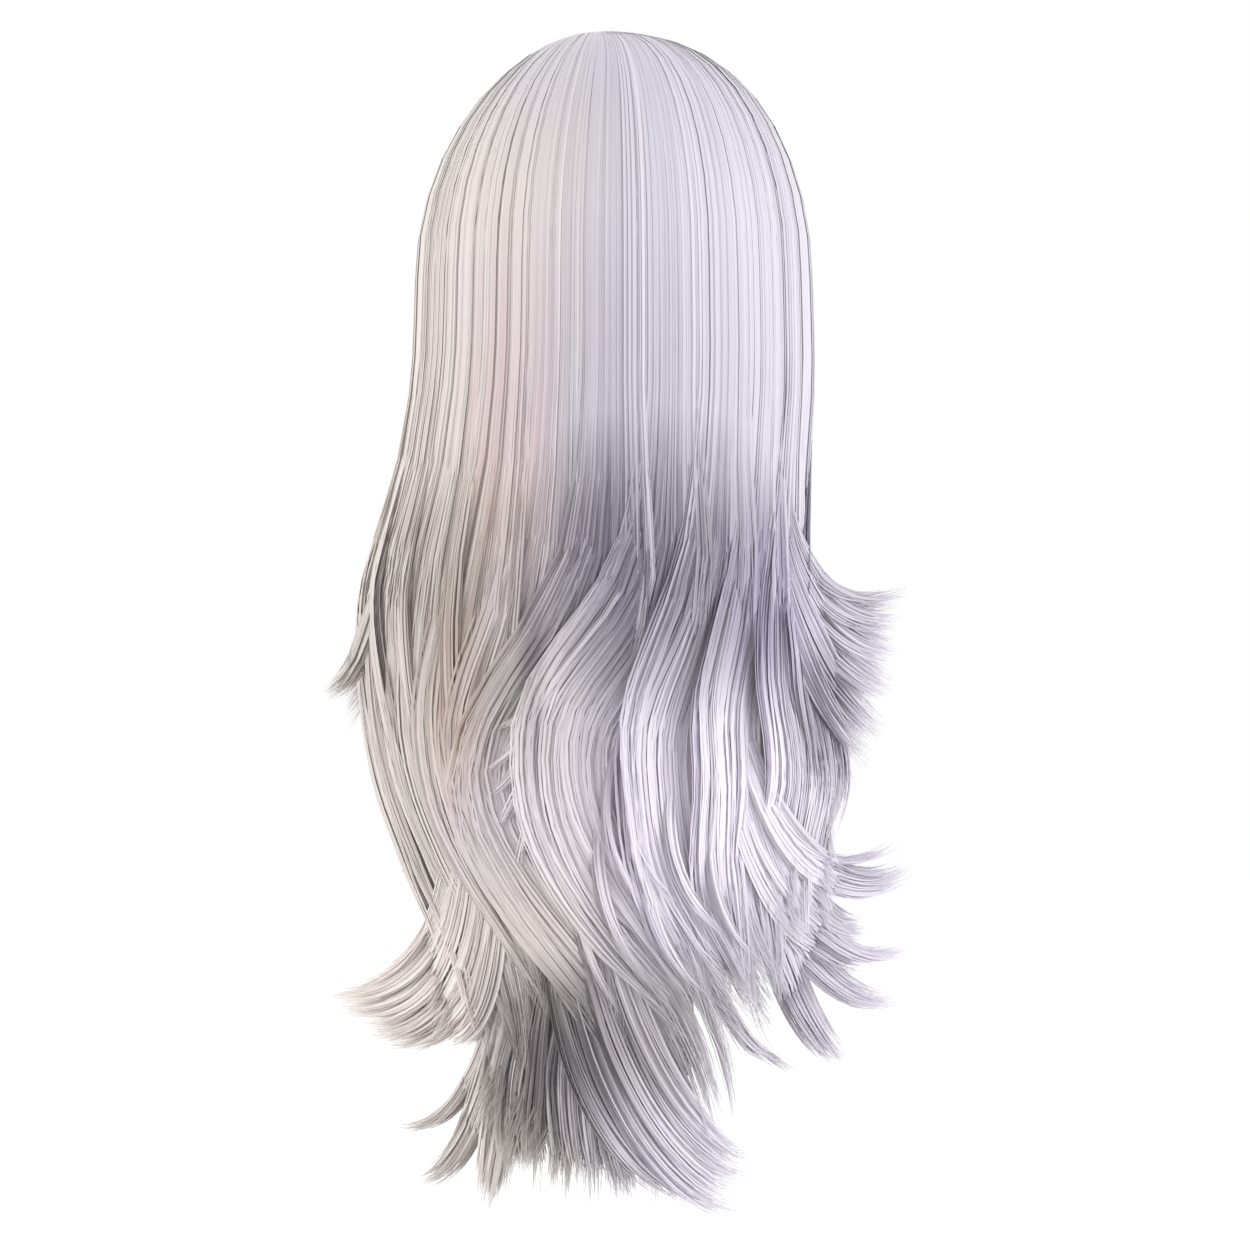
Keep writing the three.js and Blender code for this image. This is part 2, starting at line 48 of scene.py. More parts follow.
RANDOM = np.random.default_rng(7)
COARSE = 1


def corner(node, high):
    """The lowest or highest corner of a solid in millimetres."""
    return np.array(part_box(node)[high]) / MM


# The head and the cap, from the frame
CAP_WALL = 1.6
STITCH_GAP = 0.4
CROWN_HEIGHT = 96
LOWER_HEIGHT = 150
HEAD_WIDTH = corner("cap", 1)[0] * 2 - 2 * CAP_WALL
HEAD_LENGTH = -corner("cap", 0)[1] * 2 - 2 * CAP_WALL
CAP_DEPTH = -corner("cap", 0)[2]
RIM_WALL = 1.5
RIM_HEIGHT = 10
PARTING_WALL = 1.2
PARTING_END = -37
PARTING_LOW, PARTING_HIGH = corner("parting_base", 0), corner("parting_base", 1)
PARTING_X = (PARTING_LOW[0] + PARTING_HIGH[0]) / 2

# The hair
CROWN_RISE = corner("top_hair", 1)[2]
HAIR_LENGTH = 576
HAIR_WIDTH = 200
HAIR_DEPTH = 222
FACE_DEPTH = 98
FACE_ANGLE = 130
SWIRL_ANGLE = 75
CROWN_FULLNESS, CROWN_LEAN = 0.9, 0.09
PARTING_DROP = 58
PARTING_FRONT = 88
TOP_THICKNESS = 12
CORE_DEPTH = 2.8
CROWN_DEPTH = 1.6
LATEST_START = 0.8
PARTING_GAP = 0.003
FROM_PARTING = 0.6
HAIRLINE_THICKNESS = 9
TOP_LOCK_THICKNESS = 11
UNDER_LOCK_THICKNESS = 13
LAYER_GAP = 3
LOCK_WIDTH = 38
FLICK_REACH = 65
FLICK_START = 0.66
FLICK_CURVE = 1.7
LEVELLING = 0.25
LEVELLING_OF_FLICK = 0.6
TWIST_START = 0.45
TIPS_OUT = 0.55
TAPER_START = 0.56
TAPER_CURVE = 1.3
WAVE_SWING = 40
WAVE_TOP, WAVE_TURN, WAVE_END = 0.375, 0.62, 0.98
OVERLAP_LIFT = 7
SHELL_DROP = 0.42
LOCK_OVERLAP = 0.11
ROOT_LEAVE = 0.45
LOWEST_ROOT = -0.6

# The cap's rim: how far down it reaches, as a share of the cap's depth, round the head.
RIM = dict(
    at=(0, 34, 62, 88, 104, 120, 136, 158, 180),
    drop=(1.0, 0.97, 0.8, 0.64, 0.72, 0.58, 0.39, 0.29, 0.27),
)

# The hair's outline. drop is a share of the hair's length, left and right of half its width, back of half its
# depth, and front of the face depth.
OUTLINE = dict(
    at=(0.21, 0.29, 0.37, 0.47, 0.55, 0.63, 0.7, 0.77, 0.88, 1.0),
    left=(1.0, 1.02, 1.1, 1.28, 1.29, 1.21, 1.06, 0.9, 0.75, 0.67),
    right=(0.99, 1.0, 0.98, 0.99, 1.08, 1.19, 1.07, 0.96, 0.74, 0.62),
    back=(1.06, 1.05, 0.99, 0.95, 1.02, 1.1, 1.08, 1.0, 0.88, 0.78),
    front=(1.0, 0.93, 0.85, 0.76, 0.7, 0.66, 0.63, 0.6, 0.54, 0.5),
)

# One row for each lock: its angles at the root and at the tip, how far down it ends as a share of the hair's
# length, its shares of the wave, of the flick and of a quarter turn, its width, and its tip's share of that.
LOCK_COLUMNS = ("root", "end", "tip", "wave", "flick", "twist", "width", "blunt")
TOP_LOCKS = (
    (-126, -122, 0.61, 0.1, 0.12, 0, 0.9, 0.2),
    (-110, -98, 0.565, 0.0, 0.25, 0.3, 0.9, 0.1),
    (-95, -72, 0.79, 0.1, 0.0, 0.2, 1.4, 0.2),
    (-79, -60, 0.81, 0.1, 0.05, 0.2, 1.4, 0.3),
    (-62, -50, 0.83, 0.15, 0.15, 0.2, 1.3, 0.3),
    (-46, -37, 0.85, 0.3, 0.1, 0, 1.3, 0.15),
    (-31, -22, 0.80, 0.5, 0.15, 0, 1.3, 0.2),
    (-16, -7, 0.84, 0.7, 0.15, 0, 1.4, 0.25),
    (0, 10, 0.92, 1.3, 0.2, 0, 1.6, 0.6),
    (16, 20, 0.82, 1.2, 0.2, 0.1, 1.6, 0.3),
    (32, 36, 0.82, 1.0, 0.3, 0.2, 1.6, 0.2),
    (48, 48, 0.81, 0.8, 0.3, 0.3, 1.5, 0.2),
    (62, 58, 0.76, 0.5, 0.25, 0.3, 1.4, 0.2),
    (78, 70, 0.69, 0.3, 0.1, 0.2, 1.5, 0.2),
    (96, 84, 0.60, 0.0, 0.05, 0.1, 2.1, 0.5),
    (112, 102, 0.62, 0.0, 0.3, 0.3, 1.1, 0.2),
    (126, 122, 0.63, 0.1, 0.12, 0, 0.9, 0.2),
)
MIDDLE_LOCKS = (
    (-80, -72, 0.84, 0.1, 0.35, 0.3, 1.2, 0.2),
    (-60, -52, 0.87, 0.2, 0.1, 0, 1.3, 0.3),
    (-38, -28, 0.89, 0.4, 0.0, 0, 1.3, 0.3),
    (-15, -2, 0.91, 0.6, 0.0, 0, 1.3, 0.3),
    (9, 16, 0.88, 0.6, 0.1, 0, 1.3, 0.3),
    (32, 38, 0.80, 0.5, 0.1, 0.1, 1.2, 0.2),
    (56, 54, 0.79, 0.4, 0.2, 0.3, 1.1, 0.2),
    (78, 70, 0.75, 0.3, 0.35, 0.3, 1.5, 0.2),
)
NAPE_LOCKS = (
    (-50, -50, 0.91, 0.1, 0.3, 0.3, 1.1, 0.3),
    (-36, -38, 0.94, 0.1, 0.25, 0.3, 1.2, 0.4),
    (-20, -22, 0.96, 0.1, 0.1, 0.1, 1.3, 0.7),
    (-5, -8, 0.96, 0.2, 0.0, 0, 1.4, 0.8),
    (11, 6, 0.965, 0.4, 0.1, 0, 1.3, 0.7),
    (27, 10, 0.955, 0.3, 0.1, 0.1, 1.1, 0.5),
    (43, 16, 0.84, 0.2, 0.1, 0.2, 1.0, 0.3),
)
SIDE_LOCKS = (
    (96, 94, 0.74, 0.1, 0.2, 0.1, 1.0, 0.2),
    (114, 110, 0.7, 0.1, 0.15, 0, 1.0, 0.2),
)


def mix(a, b, t):
    return a + (b - a) * t


def smooth(t):
    c = np.clip(t, 0, 1)
    return c * c * (3 - 2 * c)


def unit(vectors):
    return vectors / np.maximum(np.linalg.norm(vectors, axis=-1, keepdims=True), 1e-9)


def read_table(table, column, place):
    """A column of a table at any places between its rows, along a smooth curve through them."""
    at, value = np.array(table["at"], float), np.array(table[column], float)
    slope = np.gradient(value)
    slope[1:-1] = (value[2:] - value[:-2]) / (at[2:] - at[:-2])
    slope[0] = (value[1] - value[0]) / (at[1] - at[0])
    slope[-1] = (value[-1] - value[-2]) / (at[-1] - at[-2])
    place = np.clip(place, at[0], at[-1])
    i = np.clip(np.searchsorted(at, place, side="right") - 1, 0, len(at) - 2)
    span = at[i + 1] - at[i]
    t = (place - at[i]) / span
    return (
        value[i] * (1 + 2 * t) * (1 - t) ** 2
        + value[i + 1] * t * t * (3 - 2 * t)
        + span * t * (1 - t) * ((1 - t) * slope[i] - t * slope[i + 1])
    )


# The head, the cap's rim and the hair's outline

def head_point(angle, height, offset):
    """The head's surface moved out by an offset, at an angle and a height."""
    rise = (height + CROWN_HEIGHT) / np.where(height < -CROWN_HEIGHT, LOWER_HEIGHT, CROWN_HEIGHT + offset)
    round_ = np.sqrt(np.clip(1 - rise * rise, 0, 1))
    turn = np.radians(angle)
    x = (HEAD_WIDTH / 2 + offset) * round_ * np.sin(turn)
    y = -(HEAD_LENGTH / 2 + offset) * round_ * np.cos(turn)
    return np.stack([x, y, height + 0 * angle], -1)


def rim_height(angle):
    folded = np.abs((angle + 180) % 360 - 180)
    return -CAP_DEPTH * read_table(RIM, "drop", folded)


def outline_point(angle, height, depth):
    """The hair's own surface, moved in by a depth, at an angle and a height."""
    drop = (CROWN_RISE - height) / HAIR_LENGTH
    side = np.where(angle < 0, read_table(OUTLINE, "left", drop), read_table(OUTLINE, "right", drop))
    turn = np.radians(angle)
    back = read_table(OUTLINE, "back", drop) * HAIR_DEPTH / 2
    front = read_table(OUTLINE, "front", drop) * FACE_DEPTH
    reach = np.where(np.cos(turn) > 0, back, front)
    x = (side * HAIR_WIDTH / 2 - depth) * np.sin(turn)
    y = -(reach - depth) * np.cos(turn)
    return np.stack([x, y, height + 0 * angle], -1)


WIDEST_HEIGHT = CROWN_RISE - OUTLINE["at"][0] * HAIR_LENGTH
SHELL_END = CROWN_RISE - SHELL_DROP * HAIR_LENGTH
LOCK_TOP = SHELL_END + LOCK_OVERLAP * HAIR_LENGTH


def parting_point(angle):
    """Where the hair of an angle leaves the parting, which runs from behind the crown to the forehead."""
    share = smooth((np.abs(angle) - SWIRL_ANGLE) / (FACE_ANGLE - SWIRL_ANGLE))
    height = CROWN_RISE - PARTING_DROP * share * share
    y = mix(PARTING_LOW[1] / 2, PARTING_FRONT, share)
    return np.stack([PARTING_X + 0 * angle, y, height], -1)


def outside_head(points, offset):
    """Points pushed out from the middle of the head where they lie deeper than an offset from it."""
    middle = np.array([0, 0, -CROWN_HEIGHT])
    sizes = np.stack([HEAD_WIDTH / 2 + offset, HEAD_LENGTH / 2 + offset, CROWN_HEIGHT + offset], -1)
    depth = np.linalg.norm((points - middle) / sizes, axis=-1, keepdims=True)
    return middle + (points - middle) * np.maximum(1, 1 / depth)


def crown_point(angle, level, depth):
    """The hair's surface from the parting, at level 0, down to the widest level, at level 1."""
    start = parting_point(angle)
    end = outline_point(angle, WIDEST_HEIGHT, depth)
    turn = np.radians(90 * level)
    out = np.sin(turn) ** (CROWN_FULLNESS - CROWN_LEAN * np.sin(np.radians(angle)))
    x = end[..., 0] * out + start[..., 0] * (1 - out) ** 3
    y = mix(start[..., 1], end[..., 1], out)
    z = mix(start[..., 2] - depth, end[..., 2], 1 - np.cos(turn))
    return outside_head(np.stack([x, y, z], -1), CAP_WALL + STITCH_GAP + HAIRLINE_THICKNESS - depth)


# Locks

def wave_at(height):
    """The swing of the wave: none above it, full to the left at its turn, full to the right at the ends."""
    drop = (CROWN_RISE - height) / HAIR_LENGTH
    coming = -(1 - np.cos(np.pi * np.clip((drop - WAVE_TOP) / (WAVE_TURN - WAVE_TOP), 0, 1))) / 2
    going = -np.cos(np.pi * (drop - WAVE_TURN) / (WAVE_END - WAVE_TURN))
    return np.where(drop < WAVE_TURN, coming, going)


class Layer:
    """A layer of hair: how deep it hangs under the outline, how thick its locks are, and where they start."""

    def __init__(self, depth, thickness, lift=None):
        self.depth, self.thickness, self.lift = depth, thickness, lift

    def root_height(self, angle):
        if self.lift is None:
            return LOCK_TOP + 0 * angle
        return rim_height(angle) + self.lift

    def root_point(self, angle, height):
        if self.lift is None:
            return outline_point(angle, height, self.depth)
        lowest = LOWEST_ROOT * LOWER_HEIGHT - CROWN_HEIGHT
        at = head_point(angle, np.maximum(height, lowest), CAP_WALL + STITCH_GAP + self.thickness / 2)
        return np.concatenate([at[..., :2], height[..., None]], -1)


SECOND_DEPTH = TOP_THICKNESS + LAYER_GAP + UNDER_LOCK_THICKNESS / 2
THIRD_DEPTH = SECOND_DEPTH + LAYER_GAP + UNDER_LOCK_THICKNESS
TOP_LAYER = Layer(TOP_THICKNESS / 2, TOP_LOCK_THICKNESS)
MIDDLE_LAYER = Layer(SECOND_DEPTH, UNDER_LOCK_THICKNESS, 56)
NAPE_LAYER = Layer(THIRD_DEPTH, UNDER_LOCK_THICKNESS, 10)
SIDE_LAYER = Layer(SECOND_DEPTH, UNDER_LOCK_THICKNESS, 14)


def lock_line(lock, layer, along):
    """Places along the middle line of locks. Each value of lock has a column for its locks."""
    slowing = mix(LEVELLING, LEVELLING_OF_FLICK, lock["flick"])
    share = along * (1 + slowing) - slowing * along**3
    tip_height = CROWN_RISE - lock["tip"] * HAIR_LENGTH
    height = mix(layer.root_height(lock["root"]), tip_height, share)
    swing = np.degrees(lock["wave"] * WAVE_SWING * wave_at(height) / (HAIR_DEPTH / 2))
    angle = mix(lock["root"], lock["end"], smooth(along)) + swing
    depth = mix(layer.depth, layer.thickness / 2, smooth((along - TIPS_OUT) / (1 - TIPS_OUT)))
    hang = outline_point(angle, np.minimum(height, WIDEST_HEIGHT), depth)
    root = layer.root_point(lock["root"] + 0 * height, height)
    place = mix(root, hang, smooth(along / ROOT_LEAVE)[..., None])
    place[..., 2] = height
    curl = np.clip((along - FLICK_START) / (1 - FLICK_START), 0, None) ** FLICK_CURVE
    thrown = lock["flick"] * FLICK_REACH * curl
    thrown = thrown + OVERLAP_LIFT * np.clip(lock["wave"] - 1, 0, None) * np.abs(wave_at(height))
    turn = np.radians(angle)
    place[..., 0] += thrown * np.sin(turn)
    place[..., 1] -= thrown * np.cos(turn)
    return place


def lock_frame(lock, layer, along):
    """The middle line of locks, and the directions across them and out of them."""
    nearby = 0.01
    here = lock_line(lock, layer, along)
    before = lock_line(lock, layer, np.clip(along - nearby, 0, None))
    after = lock_line(lock, layer, along + nearby)
    tangent = unit(after - before)
    angle = np.radians(mix(lock["root"], lock["end"], smooth(along)))
    wide = np.stack([np.cos(angle), np.sin(angle), 0 * angle], -1)
    wide = unit(wide - tangent * np.sum(wide * tangent, -1, keepdims=True))
    out = np.cross(tangent, wide)
    side = np.where(angle < 0, -1, 1)
    turned = side * np.radians(90) * lock["twist"] * smooth((along - TWIST_START) / (1 - TWIST_START))
    cosine, sine = np.cos(turned)[..., None], np.sin(turned)[..., None]
    return here, wide * cosine + out * sine, out * cosine - wide * sine


def columns_of(rows, chosen):
    """The table's rows that are chosen, as a column of numbers for each name."""
    table = np.array(rows, float)[chosen]
    return {name: table[:, [i]] for i, name in enumerate(LOCK_COLUMNS)}


# Meshes

def mesh_object(name, points, faces, maps, material):
    """A mesh of quads from points in millimetres. maps holds a place on each named map for each point."""
    mesh = bpy.data.meshes.new(name)
    points = np.asarray(points, np.float32) * MM
    faces = np.asarray(faces, np.int32)
    mesh.vertices.add(len(points))
    mesh.vertices.foreach_set("co", points.ravel())
    mesh.loops.add(faces.size)
    mesh.loops.foreach_set("vertex_index", faces.ravel())
    mesh.polygons.add(len(faces))
    mesh.polygons.foreach_set("loop_start", np.arange(0, faces.size, 4, dtype=np.int32))
    mesh.polygons.foreach_set("use_smooth", np.ones(len(faces), bool))
    mesh.update(calc_edges=True)
    for map_name, places in maps.items():
        layer = mesh.uv_layers.new(name=map_name, do_init=False)
        layer.uv.foreach_set("vector", np.asarray(places, np.float32)[faces.ravel()].ravel())
    mesh.uv_layers.active = mesh.uv_layers[0]
    mesh.validate()
    mesh.materials.append(material)
    piece = bpy.data.objects.new(name, mesh)
    bpy.context.scene.collection.objects.link(piece)
    return piece


def hold(piece, slot, *nodes):
    """Lets a piece ride the part and hides the solids that it stands in for. The slot is not used."""
    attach(piece, "root")
    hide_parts(*nodes)


def grid_faces(rows, columns, closed):
    """Quads over a grid of points, row after row. A closed grid's last column meets its first."""
    across = columns if closed else columns - 1
    row, column = np.meshgrid(np.arange(rows - 1), np.arange(across), indexing="ij")
    after = (column + 1) % columns
    a, b = row * columns + column, row * columns + after
    return np.stack([a, b, b + columns, a + columns], -1).reshape(-1, 4)


# Materials

def material(name, roughness, specular):
    made = bpy.data.materials.new(name)
    made.use_nodes = True
    shader = made.node_tree.nodes["Principled BSDF"]
    shader.inputs["Roughness"].default_value = roughness
    shader.inputs["Specular IOR Level"].default_value = specular
    return made, made.node_tree, shader


def node(tree, kind, **values):
    made = tree.nodes.new(kind)
    for name, value in values.items():
        if name in made.inputs:
            made.inputs[name].default_value = value
        else:
            setattr(made, name, value)
    return made


def ramp(tree, factor, stops):
    made = tree.nodes.new("ShaderNodeValToRGB")
    elements = made.color_ramp.elements
    while len(elements) < len(stops):
        elements.new(0.5)
    for element, (place, colour) in zip(elements, stops):
        element.position = place
        element.color = (*colour, 1)
    tree.links.new(factor, made.inputs["Fac"])
    return made.outputs["Color"]


def blend_colours(tree, factor, a, b, kind="MIX"):
    made = tree.nodes.new("ShaderNodeMix")
    made.data_type = "RGBA"
    made.blend_type = kind
    if isinstance(factor, float):
        made.inputs["Factor"].default_value = factor
    else:
        tree.links.new(factor, made.inputs["Factor"])
    tree.links.new(a, made.inputs["A"])
    tree.links.new(b, made.inputs["B"])
    return made.outputs["Result"]


# The fibre's colours from its darkest strands to its palest.
COOL = (
    (0.0, (0.35, 0.33, 0.37)),
    (0.35, (0.51, 0.48, 0.54)),
    (0.65, (0.59, 0.56, 0.62)),
    (1.0, (0.68, 0.66, 0.71)),
)
WARM = (
    (0.0, (0.35, 0.32, 0.305)),
    (0.35, (0.515, 0.47, 0.445)),
    (0.65, (0.60, 0.555, 0.53)),
    (1.0, (0.69, 0.655, 0.63)),
)
# Soft patches painted into the fibre's colour. Most are painted shade: over the crown's middle, in the hollow
# where the hair turns in under it, in gaps and on the under layers. Others are painted light: on the lit
# edges and low locks, and as a highlight on the wave. Two on the left are the fibre's own pinker tint. Each
# row: the middle, the half sizes across, deep and high, and the factor that the colour is multiplied by.
PAINTED_LIGHT_AND_TINT_PATCHES = (
    (22, -110, -246, 88, 120, 76, (0.34, 0.32, 0.37)),
    (76, -80, -262, 40, 90, 62, (0.72, 0.72, 0.86)),
    (-52, -105, -180, 34, 60, 110, (1.0, 0.88, 0.86)),
    (-74, -90, -312, 22, 50, 80, (1.0, 0.87, 0.84)),
    (100, -40, -318, 20, 60, 46, (0.36, 0.33, 0.38)),
    (5, -70, -30, 80, 90, 60, (0.90, 0.91, 0.95)),
    (0, -120, -175, 90, 120, 130, (0.86, 0.85, 0.88)),
    (-78, -90, -262, 50, 90, 80, (0.62, 0.60, 0.58)),
    (-105, 0, -130, 30, 90, 150, (1.16, 1.16, 1.17)),
    (105, 0, -150, 30, 90, 150, (1.10, 1.10, 1.10)),
    (30, -100, -365, 130, 120, 85, (1.34, 1.32, 1.35)),
    (-38, -100, -302, 9, 90, 60, (0.62, 0.60, 0.62)),
    (125, -20, -290, 40, 80, 60, (1.30, 1.29, 1.31)),
    (125, -30, -425, 55, 80, 80, (1.35, 1.34, 1.36)),
    (-110, -20, -450, 80, 90, 60, (1.5, 1.49, 1.51)),
    (-32, -80, -480, 46, 90, 62, (0.28, 0.26, 0.27)),
    (50, -60, -530, 50, 90, 45, (1.2, 1.19, 1.2)),
    (12, -100, -462, 60, 90, 44, (0.74, 0.72, 0.68)),
)
# Where the warm side ends and the cool side starts, in metres, and how far both waver.
WARM_EDGE, COOL_EDGE = -0.075, 0.01
EDGE_WAVER, EDGE_WAVER_SCALE = 0.16, 9.0
FIBRE_ROUGHNESS, FIBRE_SPECULAR = 0.5, 0.3
SHEEN_WEIGHT, SHEEN_ROUGHNESS = 0.25, 0.4
STREAK_STRETCH = (900, 5, 1)
STREAK_SHARE = 0.5
# The patches are strong on dark strands and weak on pale ones.
DARK_TONE, PALE_TONE = 0.33, 0.67
PATCH_ON_DARK, PATCH_ON_PALE = 2.2, 0.4
# Painted shade on the under layers' hairs, for the shadow of the layers above: where along a hair it starts
# to fade out towards the tip, and the green and blue shares of its dark colour.
SHADE_END = 0.72
SHADE_GREEN, SHADE_BLUE = 0.94, 0.96
CLOTH_SPECULAR = 0.2
CELL_MIDDLE, CELL_EDGE = 0.15, 0.55
WEAVE_RELIEF = dict(Strength=0.4, Distance=0.0003)
ROW_SCALE, ROW_WAVER = 26, 0.6
ROW_START, ROW_FULL = 0.62, 0.82
ROW_RELIEF = dict(Strength=0.7, Distance=0.001)


def fibre_material(name, painted_root_shade=1.0):
    """Fibre whose tone changes from strand to strand, warmer on the wearer's left, with soft patches of
    painted shade and painted light, and painted shade darkening each hair towards its root where that is
    asked for.
    """
    made, tree, shader = material(name, FIBRE_ROUGHNESS, FIBRE_SPECULAR)
    shader.inputs["Sheen Weight"].default_value = SHEEN_WEIGHT
    shader.inputs["Sheen Roughness"].default_value = SHEEN_ROUGHNESS
    place = node(tree, "ShaderNodeUVMap", uv_map="Strand")
    split = tree.nodes.new("ShaderNodeSeparateXYZ")
    tree.links.new(place.outputs["UV"], split.inputs[0])
    streak_place = node(tree, "ShaderNodeMapping", vector_type="POINT")
    streak_place.inputs["Scale"].default_value = STREAK_STRETCH
    tree.links.new(place.outputs["UV"], streak_place.inputs["Vector"])
    streak = node(tree, "ShaderNodeTexNoise", Scale=1.0, Detail=2.0)
    tree.links.new(streak_place.outputs["Vector"], streak.inputs["Vector"])
    tone = node(tree, "ShaderNodeMath", operation="MULTIPLY_ADD")
    tree.links.new(streak.outputs["Fac"], tone.inputs[0])
    tone.inputs[1].default_value = STREAK_SHARE
    shifted = node(tree, "ShaderNodeMath", operation="SUBTRACT")
    tree.links.new(split.outputs["X"], shifted.inputs[0])
    shifted.inputs[1].default_value = STREAK_SHARE / 2
    tree.links.new(shifted.outputs[0], tone.inputs[2])
    where = tree.nodes.new("ShaderNodeTexCoord")
    sides = tree.nodes.new("ShaderNodeSeparateXYZ")
    tree.links.new(where.outputs["Object"], sides.inputs[0])
    waver = node(tree, "ShaderNodeTexNoise", Scale=EDGE_WAVER_SCALE, Detail=1.0)
    tree.links.new(where.outputs["Object"], waver.inputs["Vector"])
    moved = node(tree, "ShaderNodeMath", operation="MULTIPLY_ADD")
    tree.links.new(waver.outputs["Fac"], moved.inputs[0])
    moved.inputs[1].default_value = EDGE_WAVER
    tree.links.new(sides.outputs["X"], moved.inputs[2])
    side = node(tree, "ShaderNodeMapRange")
    tree.links.new(moved.outputs[0], side.inputs["Value"])
    side.inputs["From Min"].default_value = WARM_EDGE + EDGE_WAVER / 2
    side.inputs["From Max"].default_value = COOL_EDGE + EDGE_WAVER / 2
    cool_colour = ramp(tree, tone.outputs[0], COOL)
    warm_colour = ramp(tree, tone.outputs[0], WARM)
    colour = blend_colours(tree, side.outputs["Result"], warm_colour, cool_colour)
    strength = node(tree, "ShaderNodeMapRange")
    strength.inputs["From Min"].default_value = DARK_TONE
    strength.inputs["From Max"].default_value = PALE_TONE
    strength.inputs["To Min"].default_value = PATCH_ON_DARK
    strength.inputs["To Max"].default_value = PATCH_ON_PALE
    tree.links.new(tone.outputs[0], strength.inputs["Value"])
    # Painted shade and painted light in soft patches, with two pinker tints of the fibre.
    colour = add_painted_light_and_tints(tree, colour, where.outputs["Object"], strength.outputs["Result"])
    # Painted shade: darker up to SHADE_END of each hair's length and fading out to its tip.
    if painted_root_shade < 1:
        dark = (painted_root_shade, SHADE_GREEN * painted_root_shade, SHADE_BLUE * painted_root_shade)
        shade = ramp(tree, split.outputs["Y"], ((SHADE_END, dark), (1.0, (1, 1, 1))))
        colour = blend_colours(tree, 1.0, colour, shade, "MULTIPLY")
    tree.links.new(colour, shader.inputs["Base Color"])
    return made


def add_painted_light_and_tints(tree, colour, place, strength):
    """Soft patches of painted shade and painted light, and two pinker tints of the fibre, each a ball of the
    given half sizes.
    """
    for x, y, z, wide, deep, high, patch_factor in PAINTED_LIGHT_AND_TINT_PATCHES:
        moved = node(tree, "ShaderNodeMapping", vector_type="TEXTURE")
        moved.inputs["Location"].default_value = (x * MM, y * MM, z * MM)
        moved.inputs["Scale"].default_value = (wide * MM, deep * MM, high * MM)
        tree.links.new(place, moved.inputs["Vector"])
        ball = node(tree, "ShaderNodeTexGradient", gradient_type="SPHERICAL")
        tree.links.new(moved.outputs["Vector"], ball.inputs["Vector"])
        share = node(tree, "ShaderNodeMath", operation="MULTIPLY", use_clamp=True)
        tree.links.new(ball.outputs["Fac"], share.inputs[0])
        tree.links.new(strength, share.inputs[1])
        patched = tree.nodes.new("ShaderNodeMix")
        patched.data_type, patched.blend_type = "RGBA", "MULTIPLY"
        patched.inputs["B"].default_value = (*patch_factor, 1)
        tree.links.new(share.outputs[0], patched.inputs["Factor"])
        tree.links.new(colour, patched.inputs["A"])
        colour = patched.outputs["Result"]
    return colour


def cloth_material(name, light, dark, scale, roughness, row_shade=1.0):
    """Fine cloth: a weave of small cells, raised a little, with rows of sewn tape where row_shade isn't 1."""
    made, tree, shader = material(name, roughness, CLOTH_SPECULAR)
    where = tree.nodes.new("ShaderNodeTexCoord")
    cells = node(tree, "ShaderNodeTexVoronoi", Scale=scale, feature="F1")
    tree.links.new(where.outputs["Object"], cells.inputs["Vector"])
    colour = ramp(tree, cells.outputs["Distance"], ((CELL_MIDDLE, dark), (CELL_EDGE, light)))
    bump = node(tree, "ShaderNodeBump", **WEAVE_RELIEF)
    tree.links.new(cells.outputs["Distance"], bump.inputs["Height"])
    if row_shade != 1:
        rows = node(tree, "ShaderNodeTexWave", bands_direction="Z", Scale=ROW_SCALE, Distortion=ROW_WAVER)
        tree.links.new(where.outputs["Object"], rows.inputs["Vector"])
        shade = ramp(tree, rows.outputs["Fac"], ((ROW_START, (1, 1, 1)), (ROW_FULL, (row_shade,) * 3)))
        colour = blend_colours(tree, 1.0, colour, shade, "MULTIPLY")
        raised = node(tree, "ShaderNodeBump", **ROW_RELIEF)
        tree.links.new(rows.outputs["Fac"], raised.inputs["Height"])
        tree.links.new(raised.outputs["Normal"], bump.inputs["Normal"])
    tree.links.new(colour, shader.inputs["Base Color"])
    tree.links.new(bump.outputs["Normal"], shader.inputs["Normal"])
    return made


# The camera, the light and the floor, in metres

LENS, SENSOR, SEEN_WIDTH = 85, 36, 0.625
VIEW_ACROSS, VIEW_UP = 0.005, -0.2735
LAMP_TARGET = (0, 0, -0.25)
# One row for each lamp: its name, place, size, power and colour.
LAMPS = (
    ("key", (0.1, -1.5, 1.6), 0.8, 3, (1, 0.99, 0.98)),
    ("left_side", (-1.7, -0.7, 0.2), 1.2, 14, (1, 0.98, 0.96)),
    ("right_side", (1.7, -0.7, 0.2), 1.2, 16, (0.98, 0.98, 1)),
)
FLOOR_HEIGHT, FLOOR_SIZE = -0.7, 40


def add_camera():
    """Looks level at the back of the wig from as far off as the lens needs for the width that is seen."""
    data = bpy.data.cameras.new("camera")
    data.lens, data.sensor_width = LENS, SENSOR
    camera = bpy.data.objects.new("camera", data)
    camera.location = (VIEW_ACROSS, -SEEN_WIDTH * LENS / SENSOR, VIEW_UP)
    camera.rotation_euler = (math.radians(90), 0, 0)
    bpy.context.scene.collection.objects.link(camera)
    bpy.context.scene.camera = camera


def add_lamp(name, place, size, power, colour):
    """A square lamp turned to the middle of the wig."""
    data = bpy.data.lights.new(name, "AREA")
    data.size, data.energy, data.color = size, power, colour
    lamp = bpy.data.objects.new(name, data)
    lamp.location = place
    away = np.array(place) - np.array(LAMP_TARGET)
    flat = math.hypot(away[0], away[1])
    lamp.rotation_euler = (math.atan2(flat, away[2]), 0, math.atan2(away[0], -away[1]))
    bpy.context.scene.collection.objects.link(lamp)


